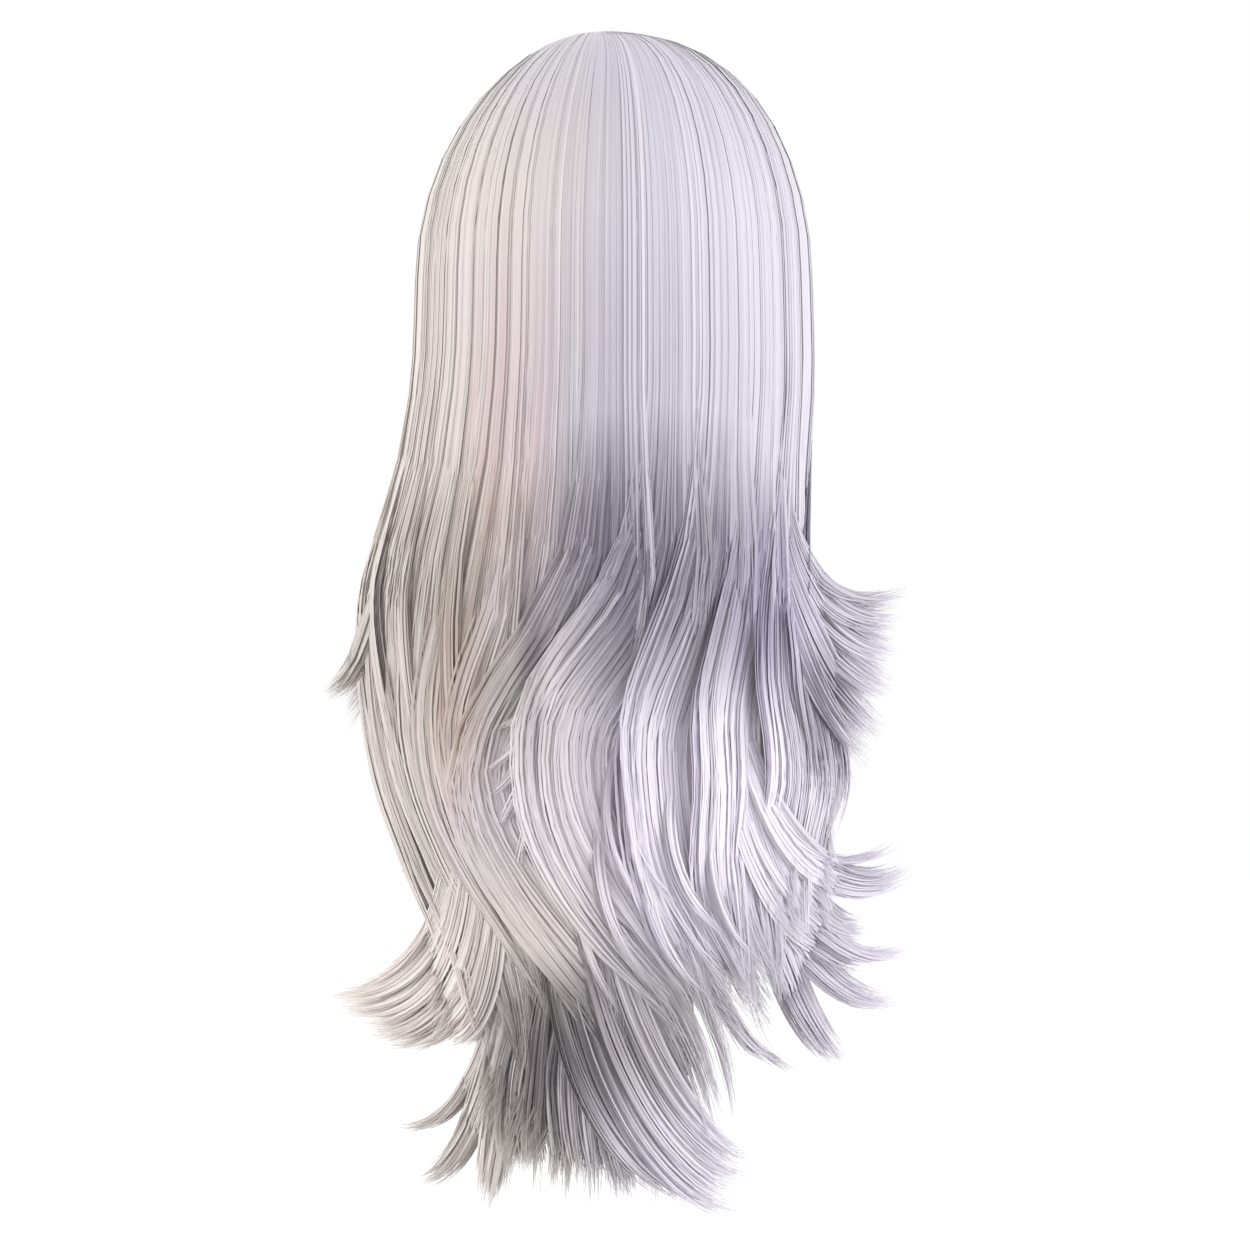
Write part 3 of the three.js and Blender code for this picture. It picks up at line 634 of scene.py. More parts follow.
def add_studio():
    """White surroundings, three lamps and a white floor."""
    scene = bpy.context.scene
    scene.view_settings.view_transform = "Standard"
    world = bpy.data.worlds.new("world")
    world.use_nodes = True
    world.node_tree.nodes["Background"].inputs["Color"].default_value = (1, 1, 1, 1)
    world.node_tree.nodes["Background"].inputs["Strength"].default_value = 1.0
    scene.world = world
    for lamp in LAMPS:
        add_lamp(*lamp)
    bpy.ops.mesh.primitive_plane_add(size=FLOOR_SIZE, location=(0, 0, FLOOR_HEIGHT))
    floor = bpy.context.object
    floor.name = "floor"
    made, _, shader = material("floor", roughness=1.0, specular=0.0)
    shader.inputs["Base Color"].default_value = (1, 1, 1, 1)
    floor.data.materials.append(made)


# Hair

# Hair is grouped three deep: clumps make a lock, wisps make a clump and strands make a wisp. Each group
# strays from the one that it is in: across it and out of it in millimetres, of which the closing share is
# left at the tip, then in its length, flick, wave, end angle in degrees, tone and sway in millimetres.
STRAY_COLUMNS = ("across", "out", "closing", "tip", "flick", "wave", "end", "tone", "sway")
STRAYS = (
    (1.5, 0.8, 1.0, 0.014, 0.06, 0.05, 0.8, 0.05, 2.2),
    (3.4, 0.6, 0.6, 0.008, 0.03, 0.03, 0.4, 0.05, 1.0),
    (1.6, 0.4, 0.25, 0.002, 0.01, 0.01, 0.1, 0.06, 0.4),
)
STRAY_SIZES = [dict(zip(STRAY_COLUMNS, row)) for row in STRAYS]
STRAY_LIMIT = 2.2
# How much shorter hairs are, as shares of their length: at a lock's edge, anywhere, by layers, and at most.
SHORT_EDGE, SHORT_CURVE, SHORT_ANY, LAYERED, INNER_LAYERED, SHORT_MOST = 0.08, 1.5, 0.03, 0.24, 0.3, 0.4
CLUMPS_PER_LOCK = 4
WISPS_PER_CLUMP = 22
OUTER_CLUMP, INNER_CLUMP = 0.7, -0.2
NARROWING_START, TIP_THICKNESS = 0.5, 0.6
LOOSE_SHARE, LOOSE_SWAY = 0.03, 4
# The sway's turns along a hair: for clumps, more for each group inside, by its pace, and where it starts.
SWAY_TURNS, SWAY_MORE_TURNS, SWAY_PACE, SWAY_PHASE, SWAY_OUT = 1.1, 0.25, 0.2, 3, 0.5
MIDDLE_TONE, LOWEST_TONE, HIGHEST_TONE = 0.5, 0.01, 0.99
STRAND_HALF_WIDTH, WISP_HALF_WIDTH, FLICK_HALF_WIDTH = 0.3, 0.75, 0.55
# The roll of a ribbon at its root and from ROLL_END on, in degrees, and the shares of its width at both ends.
STRAND_ROLL, WISP_ROLL, ROLL_END = (10, 34), (3, 20), 0.7
ROOT_WIDTH, ROOT_END, TIP_WIDTH, TIP_START = 0.2, 0.15, 0.12, 0.7
NARROWEST, WIDEST = 0.7, 1.3
STREAK_SPAN = 0.006
# The depth varies little over the crown and more below RELIEF_TOP, fully RELIEF_FALL under it.
CROWN_RELIEF, LOWER_RELIEF, RELIEF_TOP, RELIEF_FALL, RELIEF_SPREAD = 0.12, 0.55, -110, 230, 120
CROWN_STEPS, FALL_STEPS, START_STEPS, WAVE_STEPS = 12, 2, 4, 17
WAVE_FROM = 0.3
# Over the crown: the least depth, what is kept clear of the body, and how hairs come up from it.
LEAST_DEPTH, BODY_CLEARANCE, BODY_SINK = 0.4, 0.3, 0.4
RISE_LENGTH, RISE_OF_LATE = 0.04, 0.3
CROWN_LEAVE, CROWN_STEP_CURVE = 0.45, 1.25


def stray_values(count, rng):
    """Random values for the groups of one kind, which the table of strays turns into sizes."""
    names = [name for name in STRAY_COLUMNS if name != "closing"]
    names = names + ["phase", "pace"]
    return {name: np.clip(rng.normal(0, 1, (count, 1)), -STRAY_LIMIT, STRAY_LIMIT) for name in names}


def relief(height):
    """How much the hair's depth varies: little over the crown and fully from the neck down."""
    return mix(CROWN_RELIEF, LOWER_RELIEF, smooth((RELIEF_TOP - height) / RELIEF_FALL))


class Growth:
    """The clumps and wisps of the picked locks of a layer, with what sets each apart."""

    def __init__(self, rows, picked, layer, rng):
        widths = np.array(rows, float)[:, LOCK_COLUMNS.index("width")]
        per_lock = np.round(widths * CLUMPS_PER_LOCK).astype(int)
        self.rows, self.layer = rows, layer
        self.clump_lock = np.concatenate([np.full(2 * per_lock[i], i) for i in picked])
        places = [np.tile((np.arange(per_lock[i]) + 0.5) / per_lock[i] * 2 - 1, 2) for i in picked]
        self.clump_across = np.concatenate(places)
        self.clump_out = np.concatenate([np.repeat([OUTER_CLUMP, INNER_CLUMP], per_lock[i]) for i in picked])
        self.wisps = len(self.clump_lock) * WISPS_PER_CLUMP
        self.clump_values = stray_values(len(self.clump_lock), rng)
        self.wisp_values = stray_values(self.wisps, rng)
        outer = np.repeat(self.clump_out == OUTER_CLUMP, WISPS_PER_CLUMP)[:, None]
        self.wisp_short = LAYERED * rng.random((self.wisps, 1)) ** 2 * np.where(outer, 1, INNER_LAYERED)
        self.wisp_start = rng.random((self.wisps, 1))


def lay_hairs(growth, wisp, single, rng):
    """Points along hairs of the given wisps, with the directions across and out of each, and its tone."""
    layer, rows = growth.layer, growth.rows
    clump = wisp // WISPS_PER_CLUMP
    lock_index = growth.clump_lock[clump]
    lock = columns_of(rows, lock_index)
    count = len(wisp)
    half_width = lock["width"] * LOCK_WIDTH / 2
    groups = [
        {name: v[clump] for name, v in growth.clump_values.items()},
        {name: v[wisp] for name, v in growth.wisp_values.items()},
    ]
    if single:
        groups.append(stray_values(count, rng))
    first_steps = np.linspace(0, WAVE_FROM, START_STEPS)[:-1]
    steps = np.concatenate([first_steps, np.linspace(WAVE_FROM, 1, WAVE_STEPS)])[None, :]
    strayed = sum(values["across"] * size["across"] for values, size in zip(groups, STRAY_SIZES))
    place = growth.clump_across[clump][:, None] + strayed / half_width
    short = SHORT_EDGE * np.abs(place) ** SHORT_CURVE * rng.random((count, 1))
    short = short + SHORT_ANY * rng.random((count, 1)) + growth.wisp_short[wisp]
    along = (1 - np.clip(short, 0, SHORT_MOST)) * steps
    narrowing = smooth((steps - NARROWING_START) / (1 - NARROWING_START))
    fan = mix(1, lock["blunt"], np.clip((along - TAPER_START) / (1 - TAPER_START), 0, None) ** TAPER_CURVE)
    across = growth.clump_across[clump][:, None] * half_width * fan
    outward = growth.clump_out[clump][:, None] * layer.thickness / 2 * mix(1, TIP_THICKNESS, narrowing)
    tone = np.full((count, 1), MIDDLE_TONE)
    loose = np.where(rng.random((count, 1)) < LOOSE_SHARE, LOOSE_SWAY, 1)
    for level, (values, size) in enumerate(zip(groups, STRAY_SIZES)):
        closing = mix(1, size["closing"], narrowing) * fan
        sway = size["sway"] * along * fan * (loose if level == 2 else 1)
        turns = SWAY_TURNS + SWAY_MORE_TURNS * level + SWAY_PACE * values["pace"]
        turn = 2 * np.pi * along * turns + SWAY_PHASE * values["phase"]
        across = across + values["across"] * size["across"] * closing + sway * values["sway"] * np.sin(turn)
        outward = outward + values["out"] * size["out"] * closing
        outward = outward + SWAY_OUT * sway * values["pace"] * np.cos(turn)
        lock["tip"] = lock["tip"] + values["tip"] * size["tip"]
        lock["flick"] = lock["flick"] * (1 + values["flick"] * size["flick"])
        lock["wave"] = lock["wave"] * (1 + values["wave"] * size["wave"])
        lock["end"] = lock["end"] + values["end"] * size["end"]
        tone = tone + values["tone"] * size["tone"]
    here, wide, out = lock_frame(lock, layer, along)
    outward = outward * relief(here[..., 2] + RELIEF_SPREAD * (growth.wisp_start[wisp] - 0.5))
    points = here + wide * across[..., None] + out * outward[..., None]
    if layer.lift is None:
        edge = across[:, :1] / half_width
        depth = CROWN_DEPTH - outward[:, :1]
        chance = growth.wisp_start[wisp]
        points, wide, out = with_crown(rows, lock_index, lock, points, wide, out, along, edge, depth, chance)
    return points, wide, out, np.clip(tone, LOWEST_TONE, HIGHEST_TONE)


def with_crown(rows, lock_index, lock, points, wide, out, along, across, depth, chance):
    """Adds the stretch from the parting over the crown to the start of each lock."""
    roots = np.array(rows, float)[:, 0]
    gaps = np.diff(roots) / 2
    before = np.concatenate([[FACE_ANGLE + roots[0]], gaps])[lock_index][:, None]
    after = np.concatenate([gaps, [FACE_ANGLE - roots[-1]]])[lock_index][:, None]
    angle = np.clip(lock["root"] + across * np.where(across < 0, before, after), -FACE_ANGLE, FACE_ANGLE)
    depth = np.clip(depth, LEAST_DEPTH, CORE_DEPTH - BODY_CLEARANCE)
    heights = points[..., 2]
    shell = outline_point(angle + 0 * heights, np.minimum(heights, WIDEST_HEIGHT), depth + 0 * heights)
    shell[..., 2] = heights
    points = mix(shell, points, smooth(along / CROWN_LEAVE)[..., None])
    count = len(angle)
    start = PARTING_GAP + LATEST_START * np.clip((chance - FROM_PARTING) / (1 - FROM_PARTING), 0, 1)
    level = start + (1 - start) * np.linspace(0, 1, CROWN_STEPS)[None, :] ** CROWN_STEP_CURVE
    risen = smooth((level - start) / (RISE_LENGTH + RISE_OF_LATE * start))
    sunk = mix(CORE_DEPTH + BODY_SINK, depth, risen)
    crown = crown_point(angle + 0 * level, level, sunk)
    fall = np.linspace(WIDEST_HEIGHT, heights[:, 0], FALL_STEPS + 2)[1:-1].T
    straight = outline_point(angle + 0 * fall, fall, depth + 0 * fall)
    turn = np.radians(angle)
    first_wide = np.stack([np.cos(turn), np.sin(turn), 0 * turn], -1)
    first_out = np.stack([np.sin(turn), -np.cos(turn), 0 * turn], -1)
    extra = CROWN_STEPS + FALL_STEPS
    points = np.concatenate([crown, straight, points], 1)
    lean = np.concatenate([np.cos(np.radians(90 * level)), np.zeros((count, FALL_STEPS))], 1)[..., None]
    up = np.array([0, 0, 1.0])
    wide = np.concatenate([np.repeat(first_wide, extra, 1), wide], 1)
    out = np.concatenate([unit(mix(np.repeat(first_out, extra, 1), up, lean)), out], 1)
    return points, wide, out


def add_ribbons(name, hairs, half_width, rolls, slot, node_name, made, rng):
    """Hairs as ribbons: each is rolled a little, more towards its tip, and tapers to a point."""
    points, wide, out, tone = hairs
    order = np.argsort(points[:, -1, 0])
    points, wide, out, tone = points[order], wide[order], out[order], tone[order]
    count, steps = points.shape[:2]
    tangent = unit(np.gradient(points, axis=1))
    out = unit(out - tangent * np.sum(out * tangent, -1, keepdims=True))
    wide = np.cross(out, tangent)
    length = np.linspace(0, 1, steps)[None, :]
    roll = np.radians(rng.normal(0, 1, (count, 1)) * mix(*rolls, smooth(length / ROLL_END)))[..., None]
    wide = wide * np.cos(roll) + out * np.sin(roll)
    thin = mix(ROOT_WIDTH, 1, smooth(length / ROOT_END))
    thin = thin * mix(1, TIP_WIDTH, smooth((length - TIP_START) / (1 - TIP_START)))
    half = (half_width * rng.uniform(NARROWEST, WIDEST, (count, 1)) * thin)[..., None]
    corners = np.stack([points - wide * half, points + wide * half], 2)
    first = (np.arange(count)[:, None] * steps + np.arange(steps - 1)[None, :]) * 2
    faces = np.stack([first, first + 1, first + 3, first + 2], -1).reshape(-1, 4)
    share = np.array([0.0, 1.0])[None, None, :] + np.zeros((count, steps, 1))
    along = length[..., None] + 0 * share
    strand_map = np.stack([tone[..., None] + STREAK_SPAN * half_width * (share - 0.5), along], -1)
    bake_map = np.stack([(np.arange(count)[:, None, None] + share) / count, along], -1)
    maps = {"Strand": strand_map.reshape(-1, 2), "OFBake": bake_map.reshape(-1, 2)}
    piece = mesh_object(name, corners.reshape(-1, 3), faces, maps, made)
    hold(piece, slot, node_name)


def add_hair(name, rows, picked, layer, strands, slot, node_name, made):
    """The wisps of the picked locks as flat ribbons, and single strands over and between them."""
    rng = np.random.default_rng(RANDOM.integers(1 << 30))
    growth = Growth(rows, picked, layer, rng)
    wisps = np.arange(growth.wisps)[::COARSE]
    hairs = lay_hairs(growth, wisps, False, rng)
    add_ribbons(name + "_wisps", hairs, WISP_HALF_WIDTH, WISP_ROLL, slot, node_name, made, rng)
    chosen = rng.integers(0, growth.wisps, strands // COARSE)
    hairs = lay_hairs(growth, chosen, True, rng)
    add_ribbons(name + "_strands", hairs, STRAND_HALF_WIDTH, STRAND_ROLL, slot, node_name, made, rng)


# Flicks are locks that curl away from the rest. Each row has four places that shape its middle line, across
# and up, then its width, its tip's share of that, and how far it stands off the hair behind it.
FLICK_COLUMNS = ("x0", "z0", "x1", "z1", "x2", "z2", "x3", "z3", "width", "blunt", "lift")
RIGHT_WING = (
    (82, -214, 90, -252, 108, -270, 145, -257, 10, 0.3, 3),
    (82, -218, 91, -259, 113, -274, 141, -270, 17, 0.8, 3),
    (82, -223, 93, -268, 115, -283, 139, -287, 20, 0.9, 3),
    (81, -228, 91, -278, 114, -296, 136, -306, 21, 0.9, 1),
    (79, -233, 90, -287, 109, -312, 131, -328, 19, 0.8, -1),
    (78, -242, 88, -297, 102, -321, 121, -338, 14, 0.5, -4),
)
RIGHT_FLICKS = (
    (61, -327, 77, -385, 108, -401, 138, -379, 5, 0.2, 3),
    (61, -329, 79, -394, 115, -412, 145, -392, 20, 0.5, 2),
    (63, -341, 81, -407, 106, -427, 124, -423, 18, 0.6, 0),
    (61, -345, 82, -420, 116, -447, 144, -431, 11, 0.4, 3),
    (58, -350, 77, -429, 111, -463, 139, -458, 15, 0.5, 1),
    (56, -355, 74, -418, 106, -436, 123, -439, 22, 0.7, -1),
    (63, -379, 83, -446, 93, -473, 112, -490, 18, 0.5, -3),
    (35, -401, 49, -455, 64, -483, 90, -493, 7, 0.4, 3),
)
LEFT_FLICKS = (
    (-111, -242, -122, -281, -127, -301, -142, -308, 10, 0.3, 1),
    (-74, -355, -75, -436, -103, -457, -142, -455, 13, 0.4, 2),
    (-70, -365, -71, -448, -100, -467, -137, -461, 18, 0.6, 2),
    (-65, -369, -66, -452, -92, -475, -125, -471, 20, 0.7, 1),
    (-59, -373, -59, -453, -83, -479, -112, -478, 18, 0.7, 0),
    (-53, -383, -54, -455, -67, -471, -80, -478, 16, 0.6, -2),
    (-77, -351, -81, -422, -100, -445, -129, -452, 5, 0.3, 4),
)
TAIL_FLICKS = (
    (-54, -441, -66, -495, -79, -524, -107, -521, 7, 0.3, -2),
    (-51, -440, -63, -507, -73, -543, -98, -549, 14, 0.5, -4),
    (-44, -444, -55, -505, -58, -536, -63, -559, 18, 0.5, -4),
    (-35, -444, -44, -493, -45, -518, -40, -535, 30, 0.9, -10),
    (-18, -443, -21, -491, -18, -515, -12, -535, 30, 0.9, -10),
    (-7, -443, -4, -491, -1, -519, 7, -544, 22, 0.5, -8),
    (-11, -377, 3, -457, 31, -512, 67, -535, 14, 0.6, 3),
    (-18, -382, -5, -471, 25, -526, 69, -547, 20, 0.9, 3),
    (-25, -391, -11, -486, 17, -533, 63, -559, 20, 0.8, 2),
    (-32, -401, -18, -491, 7, -527, 37, -542, 20, 0.7, 0),
)
WAVE_ENDS = (
    (-2, -280, -24, -308, -39, -318, -59, -321, 2.5, 0.2, 2),
    (-2, -280, -25, -314, -44, -332, -62, -345, 4, 0.2, 2),
    (-4, -285, -27, -320, -45, -343, -60, -355, 5, 0.3, 2),
    (-7, -290, -29, -327, -46, -354, -53, -372, 6, 0.3, 2),
    (-8, -299, -30, -336, -44, -368, -42, -392, 7, 0.4, 2),
    (12, -308, -11, -349, -6, -377, 12, -403, 5, 0.3, 2),
    (21, -308, -1, -354, 7, -381, 29, -403, 5, 0.3, 2),
    (35, -317, 16, -363, 25, -396, 50, -418, 5, 0.3, 2),
    (-2, -336, -16, -377, -7, -414, 17, -441, 6, 0.3, 2),
    (-11, -345, -25, -391, -18, -429, 3, -455, 6, 0.3, 2),
    (49, -336, 37, -382, 46, -416, 69, -435, 5, 0.3, 2),
    (16, -354, 7, -395, 19, -429, 44, -449, 6, 0.3, 2),
)
FLICK_STEPS = 16
FLICK_TILT = 0.7
FLICK_SPREAD = 5
FLICK_ROOT_DEPTH, FLICK_RISEN = 9, 0.6
FLICK_SHORT_EDGE, FLICK_SHORT_ANY, FLICK_SHORT_CURVE = 0.25, 0.22, 1.5
FLICK_ROOT_WIDTH, FLICK_FULL_WIDTH, FLICK_THICKNESS = 0.6, 0.4, 0.35
WISP_SWAY, STRAND_SWAY, FLICK_SWAY_TURN, FLICK_SWAY_PHASE = 1.2, 2.5, 4, 6
FLICK_TONE, FLICK_TONE_SPREAD = 0.52, 0.08
WISPS_PER_MM, STRANDS_PER_MM, FEWEST_HAIRS = 6, 5, 3
MOST_BESIDE = 0.97


def back_of_hair(x, z):
    """How far back the hair's outline is at a place across and up, level where the place is beside it."""
    drop = (CROWN_RISE - z) / HAIR_LENGTH
    side = np.where(x < 0, read_table(OUTLINE, "left", drop), read_table(OUTLINE, "right", drop))
    share = np.clip(np.abs(x) / (side * HAIR_WIDTH / 2), 0, MOST_BESIDE)
    return -read_table(OUTLINE, "back", drop) * HAIR_DEPTH / 2 * np.sqrt(1 - share * share)


def lay_flicks(rows, chosen, single, rng):
    """Hairs along flicks, each of which swells from its root and closes to a point."""
    flick = dict(zip(FLICK_COLUMNS, np.array(rows, float)[chosen].T[..., None]))
    count = len(chosen)
    across, deep = rng.uniform(-1, 1, (2, count, 1))
    short = FLICK_SHORT_EDGE * np.abs(across) ** FLICK_SHORT_CURVE * rng.random((count, 1))
    short = short + FLICK_SHORT_ANY * rng.random((count, 1)) ** FLICK_SHORT_CURVE
    along = (1 - short) * np.linspace(0, 1, FLICK_STEPS)[None, :]
    shares = ((1 - along) ** 3, 3 * along * (1 - along) ** 2, 3 * along**2 * (1 - along), along**3)
    x = sum(share * flick[name] for share, name in zip(shares, ("x0", "x1", "x2", "x3")))
    z = sum(share * flick[name] for share, name in zip(shares, ("z0", "z1", "z2", "z3")))
    y = back_of_hair(x, z) + mix(FLICK_ROOT_DEPTH, -flick["lift"], smooth(along / FLICK_RISEN))
    here = np.stack([x, y, z], -1)
    tangent = unit(np.gradient(here, axis=1))
    back, right = np.array([0.0, -1.0, 0.0]), np.array([1.0, 0.0, 0.0])
    out = unit(back + FLICK_TILT * np.sign(flick["x3"])[..., None] * right)
    out = unit(out - tangent * np.sum(out * tangent, -1, keepdims=True))
    wide = np.cross(out, tangent)
    reach = flick["width"] / 2 * mix(FLICK_ROOT_WIDTH, 1, smooth(along / FLICK_FULL_WIDTH))
    reach = reach * mix(1, flick["blunt"], along**2)
    phase = FLICK_SWAY_PHASE * rng.random((count, 1))
    sway = (STRAND_SWAY if single else WISP_SWAY) * along**2 * np.sin(FLICK_SWAY_TURN * along + phase)
    outward = deep * (FLICK_THICKNESS * reach + FLICK_SPREAD * along)
    points = here + wide * (across * reach + sway)[..., None] + out * outward[..., None]
    tone = FLICK_TONE + FLICK_TONE_SPREAD * rng.normal(0, 1, (count, 1))
    return points, wide, out, np.clip(tone, LOWEST_TONE, HIGHEST_TONE)


def add_flicks(name, rows, slot, node_name, made):
    """The wisps and the single strands of the flicks in a table."""
    rng = np.random.default_rng(RANDOM.integers(1 << 30))
    widths = np.array(rows, float)[:, FLICK_COLUMNS.index("width")]
    kinds = (
        ("wisps", WISPS_PER_MM, FLICK_HALF_WIDTH, WISP_ROLL, False),
        ("strands", STRANDS_PER_MM, STRAND_HALF_WIDTH, STRAND_ROLL, True),
    )
    for kind, density, half_width, rolls, single in kinds:
        counts = np.round(widths * density / COARSE).astype(int) + FEWEST_HAIRS
        hairs = lay_flicks(rows, np.repeat(np.arange(len(rows)), counts), single, rng)
        add_ribbons(f"{name}_{kind}", hairs, half_width, rolls, slot, node_name, made, rng)


def add_crown_core(made):
    """The smooth body of hair over the crown, which shows between the strands."""
    columns, rows, skirt = 150, 26, 8
    row_curve, tuck, wall, ridge, ridges_per_radian = 1.3, 20, 2, 0.1, 47
    angle = np.linspace(-FACE_ANGLE + 1, FACE_ANGLE - 1, columns)[None, :]
    level = (PARTING_GAP + (1 - PARTING_GAP) * np.linspace(0, 1, rows) ** row_curve)[:, None]
    fall = np.linspace(WIDEST_HEIGHT, SHELL_END + tuck, skirt + 1)[1:, None]
    sheets = []
    for depth in (CORE_DEPTH, CORE_DEPTH + wall):
        ridges = ridge * np.sin(np.radians(angle) * ridges_per_radian)
        crown = crown_point(angle + 0 * level, level + 0 * angle, depth + ridges + 0 * level)
        hanging = outline_point(angle + 0 * fall, fall + 0 * angle, depth + ridges + 0 * fall)
        sheets.append(np.concatenate([crown, hanging]))
    outer, inner = sheets
    points = np.concatenate([outer, inner[::-1]])
    total = len(points)
    faces = grid_faces(total, columns, False)
    row = np.arange(total // 2 - 1)
    left = np.stack([row, row + 1, total - 2 - row, total - 1 - row], -1) * columns
    right = left[:, ::-1] + columns - 1
    first = np.arange(columns - 1)
    last = first + (total - 1) * columns
    top = np.stack([first, last, last + 1, first + 1], -1)
    faces = np.concatenate([faces, left, right, top])
    u = (angle / 360 + 0.5) + np.zeros((total, 1))
    v = np.linspace(0, 1, total)[:, None] + 0 * angle
    maps = {"Strand": np.stack([u, v], -1).reshape(-1, 2)}
    piece = mesh_object("crown_body", points.reshape(-1, 3), faces, maps, made)
    hold(piece, "top_fibre", "top_hair")


def add_core(name, rows, layer, slot, nodes, made):
    """The body of each lock, which shows between its strands."""
    steps, sides = 22, 10
    length, closing_start, tip_share = 0.84, 0.6, 0.05
    root_share, root_length, width_share, thickness_share = 0.4, 0.15, 0.75, 0.22
    along = np.linspace(0, length, steps)[None, :]
    lock = columns_of(rows, np.arange(len(rows)))
    here, wide, out = lock_frame(lock, layer, along + 0 * lock["tip"])
    fan = mix(1, lock["blunt"], np.clip((along - TAPER_START) / (1 - TAPER_START), 0, None) ** TAPER_CURVE)
    taper = fan * mix(1, tip_share, smooth((along - closing_start) / (length - closing_start)))
    taper = taper * mix(root_share, 1, smooth(along / root_length))
    half_width = (lock["width"] * LOCK_WIDTH / 2 * width_share * taper)[..., None, None]
    half_thick = (layer.thickness / 2 * thickness_share * taper)[..., None, None]
    turn = np.linspace(0, 2 * np.pi, sides, endpoint=False)[None, None, :, None]
    beside = wide[:, :, None] * half_width * np.cos(turn)
    points = here[:, :, None] + beside + out[:, :, None] * half_thick * np.sin(turn)
    each = grid_faces(steps, sides, True)
    first = np.arange(sides // 2 - 1)
    low_cap = np.stack([first, first + 1, sides - 2 - first, sides - 1 - first], -1)
    high_cap = low_cap[:, ::-1] + (steps - 1) * sides
    each = np.concatenate([each, low_cap, high_cap])
    faces = (each[None] + (np.arange(len(rows)) * steps * sides)[:, None, None]).reshape(-1, 4)
    u = np.linspace(0, 1, sides)[None, None, :] * 0.5 + 0.2 + 0 * points[..., 0]
    v = along[:, :, None] + 0 * points[..., 0]
    maps = {"Strand": np.stack([u, v], -1).reshape(-1, 2)}
    piece = mesh_object(name, points.reshape(-1, 3), faces, maps, made)
    hold(piece, slot, *nodes)


# The cap, its rim and the parting

def add_cap(made):
    """The net: two walls over the head, joined at the rim and closed at the top."""
    columns, rows = 90, 44
    angle = np.linspace(0, 360, columns, endpoint=False)[None, :]
    rise = np.linspace(0.02, 1, rows)[:, None]
    rings = []
    for offset in (CAP_WALL, 0.0):
        low = rim_height(angle)
        full = np.where(low < -CROWN_HEIGHT, LOWER_HEIGHT, CROWN_HEIGHT + offset)
        down = np.arccos(np.clip((low + CROWN_HEIGHT) / full, -1, 1)) * rise
        height = np.cos(down) * np.where(down > np.pi / 2, LOWER_HEIGHT, CROWN_HEIGHT + offset) - CROWN_HEIGHT
        rings.append(head_point(angle + 0 * height, height, offset))
    outer, inner = rings
    points = np.concatenate([outer, inner[::-1]]).reshape(-1, 3)
    total = 2 * rows
    faces = grid_faces(total, columns, True)
    first = np.arange(columns // 2 - 1)
    lid = np.stack([first, first + 1, columns - 2 - first, columns - 1 - first], -1)
    faces = np.concatenate([faces[:, ::-1], lid, lid[:, ::-1] + (total - 1) * columns])
    u = (angle / 360 + np.zeros((total, 1))).reshape(-1)
    v = (np.linspace(0, 1, total)[:, None] + 0 * angle).reshape(-1)
    piece = mesh_object("cap_net", points, faces, {"Strand": np.stack([u, v], -1)}, made)
    hold(piece, "cap_net", "cap")


def add_rim(made):
    """The elastic band inside the cap's rim."""
    columns = 240
    angle = np.linspace(0, 360, columns, endpoint=False)
    low = rim_height(angle)
    outer, inner = -STITCH_GAP, -STITCH_GAP - RIM_WALL
    outline = ((0, outer), (RIM_HEIGHT, outer), (RIM_HEIGHT, inner), (0, inner), (0, outer))
    points = np.stack([head_point(angle, low + lift, offset) for lift, offset in outline])
    faces = grid_faces(len(outline), columns, True)
    u = (angle / 360)[None, :] + np.zeros((len(outline), 1))
    v = np.linspace(0, 1, len(outline))[:, None] + 0 * u
    maps = {"Strand": np.stack([u, v], -1).reshape(-1, 2)}
    piece = mesh_object("rim_band", points.reshape(-1, 3), faces, maps, made)
    hold(piece, "elastic", "rim_elastic")


def edge_of(sheet):
    """The points round the edge of a grid, in order."""
    return np.concatenate([sheet[0, :-1], sheet[:-1, -1], sheet[-1, :0:-1], sheet[:0:-1, 0]])


def add_parting(made):
    """The gauze under the parting: two sheets over the cap and the strip between their edges."""
    across, length = 12, 60
    x = np.linspace(PARTING_LOW[0], PARTING_HIGH[0], across)[None, :]
    back_to_front = np.linspace(0, 1, length)[:, None]
    sheets = []
    for offset in (CAP_WALL + STITCH_GAP, CAP_WALL + STITCH_GAP + PARTING_WALL):
        wide, long = HEAD_WIDTH / 2 + offset, HEAD_LENGTH / 2 + offset
        front_rise = (PARTING_END + CROWN_HEIGHT) / (CROWN_HEIGHT + offset)
        front = np.minimum(PARTING_HIGH[1], long * np.sqrt(1 - (x / wide) ** 2 - front_rise**2))
        y = mix(PARTING_LOW[1], front, back_to_front)
        rise = np.sqrt(1 - (x / wide) ** 2 - (y / long) ** 2)
        z = rise * (CROWN_HEIGHT + offset) - CROWN_HEIGHT
        sheets.append(np.stack([x + 0 * z, y + 0 * z, z], -1))
    low, high = sheets
    points = np.concatenate([low.reshape(-1, 3), high.reshape(-1, 3), edge_of(low), edge_of(high)])
    count = across * length
    under = grid_faces(length, across, False)
    sides = grid_faces(2, len(edge_of(low)), True) + 2 * count
    faces = np.concatenate([under[:, ::-1], under + count, sides])
    maps = {"Strand": points[:, :2] * MM}
    piece = mesh_object("parting_skin", points, faces, maps, made)
    hold(piece, "parting_skin", "parting_base")


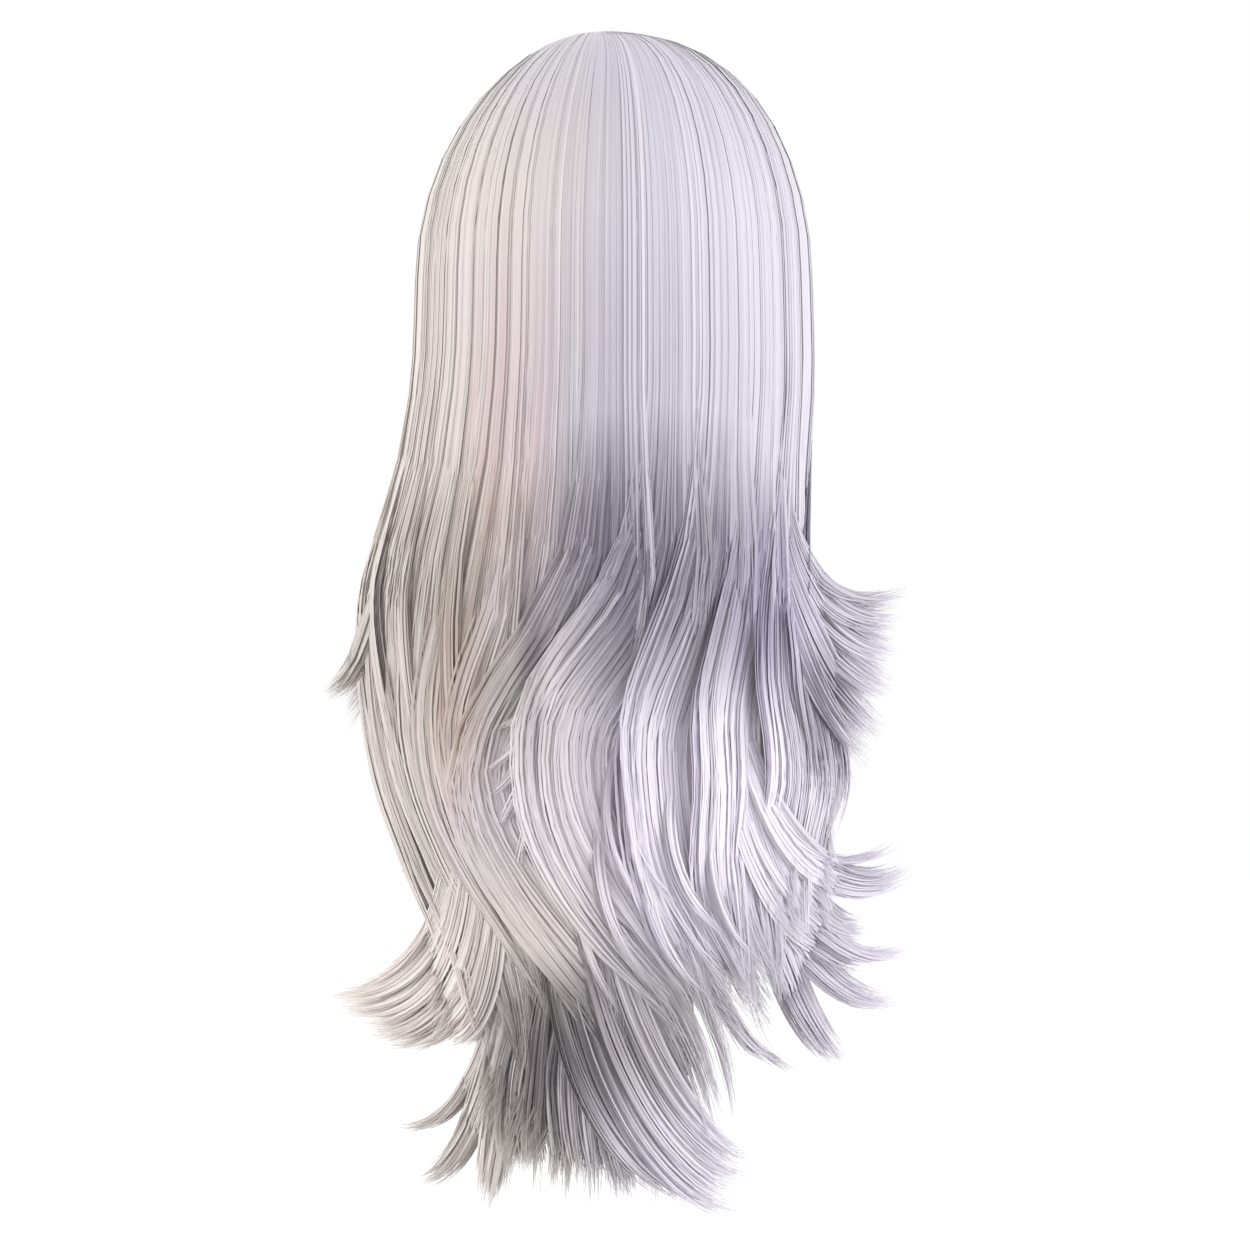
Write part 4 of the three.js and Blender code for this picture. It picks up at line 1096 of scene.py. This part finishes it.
add_camera()
add_studio()
silver = fibre_material("silver_fibre")
# The same fibre with painted shade towards the roots, for the middle and nape layers under the top layer.
under = fibre_material("under_fibre", painted_root_shade=0.45)
net = cloth_material(
    "cap_cloth", light=(0.84, 0.81, 0.82), dark=(0.50, 0.47, 0.49), scale=1400, roughness=0.9, row_shade=0.62
)
elastic = cloth_material(
    "elastic_cloth", light=(0.86, 0.84, 0.85), dark=(0.62, 0.60, 0.61), scale=900, roughness=0.8
)
skin = cloth_material(
    "parting_gauze", light=(0.86, 0.76, 0.71), dark=(0.76, 0.66, 0.61), scale=1800, roughness=0.7
)
add_cap(net)
add_rim(elastic)
add_parting(skin)
# The pieces of the top layer: the name, the locks' places in the table and the number of single strands.
TOP_PIECES = (
    ("top_far_left", (0, 1, 2, 3, 4), 700),
    ("top_left", (5, 6, 7), 600),
    ("top_right", (8, 9, 10), 850),
    ("top_far_right", (11, 12, 13), 550),
    ("top_front_right", (14, 15, 16), 350),
)
LEFT_LOCKS = tuple((-root, -end, *rest) for root, end, *rest in SIDE_LOCKS)
for piece_name, picked, strands in TOP_PIECES:
    add_hair(piece_name, TOP_LOCKS, picked, TOP_LAYER, strands, "top_fibre", "top_hair", silver)
add_hair("middle", MIDDLE_LOCKS, range(8), MIDDLE_LAYER, 700, "under_fibre", "middle_hair", under)
add_hair("nape", NAPE_LOCKS, range(7), NAPE_LAYER, 1200, "under_fibre", "nape_hair", under)
add_hair("right_side", SIDE_LOCKS, range(2), SIDE_LAYER, 300, "under_fibre", "right_side_hair", silver)
add_hair("left_side", LEFT_LOCKS, range(2), SIDE_LAYER, 300, "under_fibre", "left_side_hair", silver)
add_flicks("right_wing", RIGHT_WING, "top_fibre", "top_hair", silver)
add_flicks("right_flicks", RIGHT_FLICKS, "top_fibre", "top_hair", silver)
add_flicks("left_flicks", LEFT_FLICKS, "top_fibre", "top_hair", silver)
add_flicks("wave_ends", WAVE_ENDS, "top_fibre", "top_hair", silver)
add_flicks("tail_flicks", TAIL_FLICKS, "under_fibre", "nape_hair", silver)
add_crown_core(silver)
add_core("top_locks", TOP_LOCKS, TOP_LAYER, "top_fibre", ["top_hair"], silver)
add_core("middle_locks", MIDDLE_LOCKS, MIDDLE_LAYER, "under_fibre", ["middle_hair"], under)
add_core("nape_locks", NAPE_LOCKS, NAPE_LAYER, "under_fibre", ["nape_hair"], under)
add_core("right_side_locks", SIDE_LOCKS, SIDE_LAYER, "under_fibre", ["right_side_hair"], silver)
add_core("left_side_locks", LEFT_LOCKS, SIDE_LAYER, "under_fibre", ["left_side_hair"], silver)
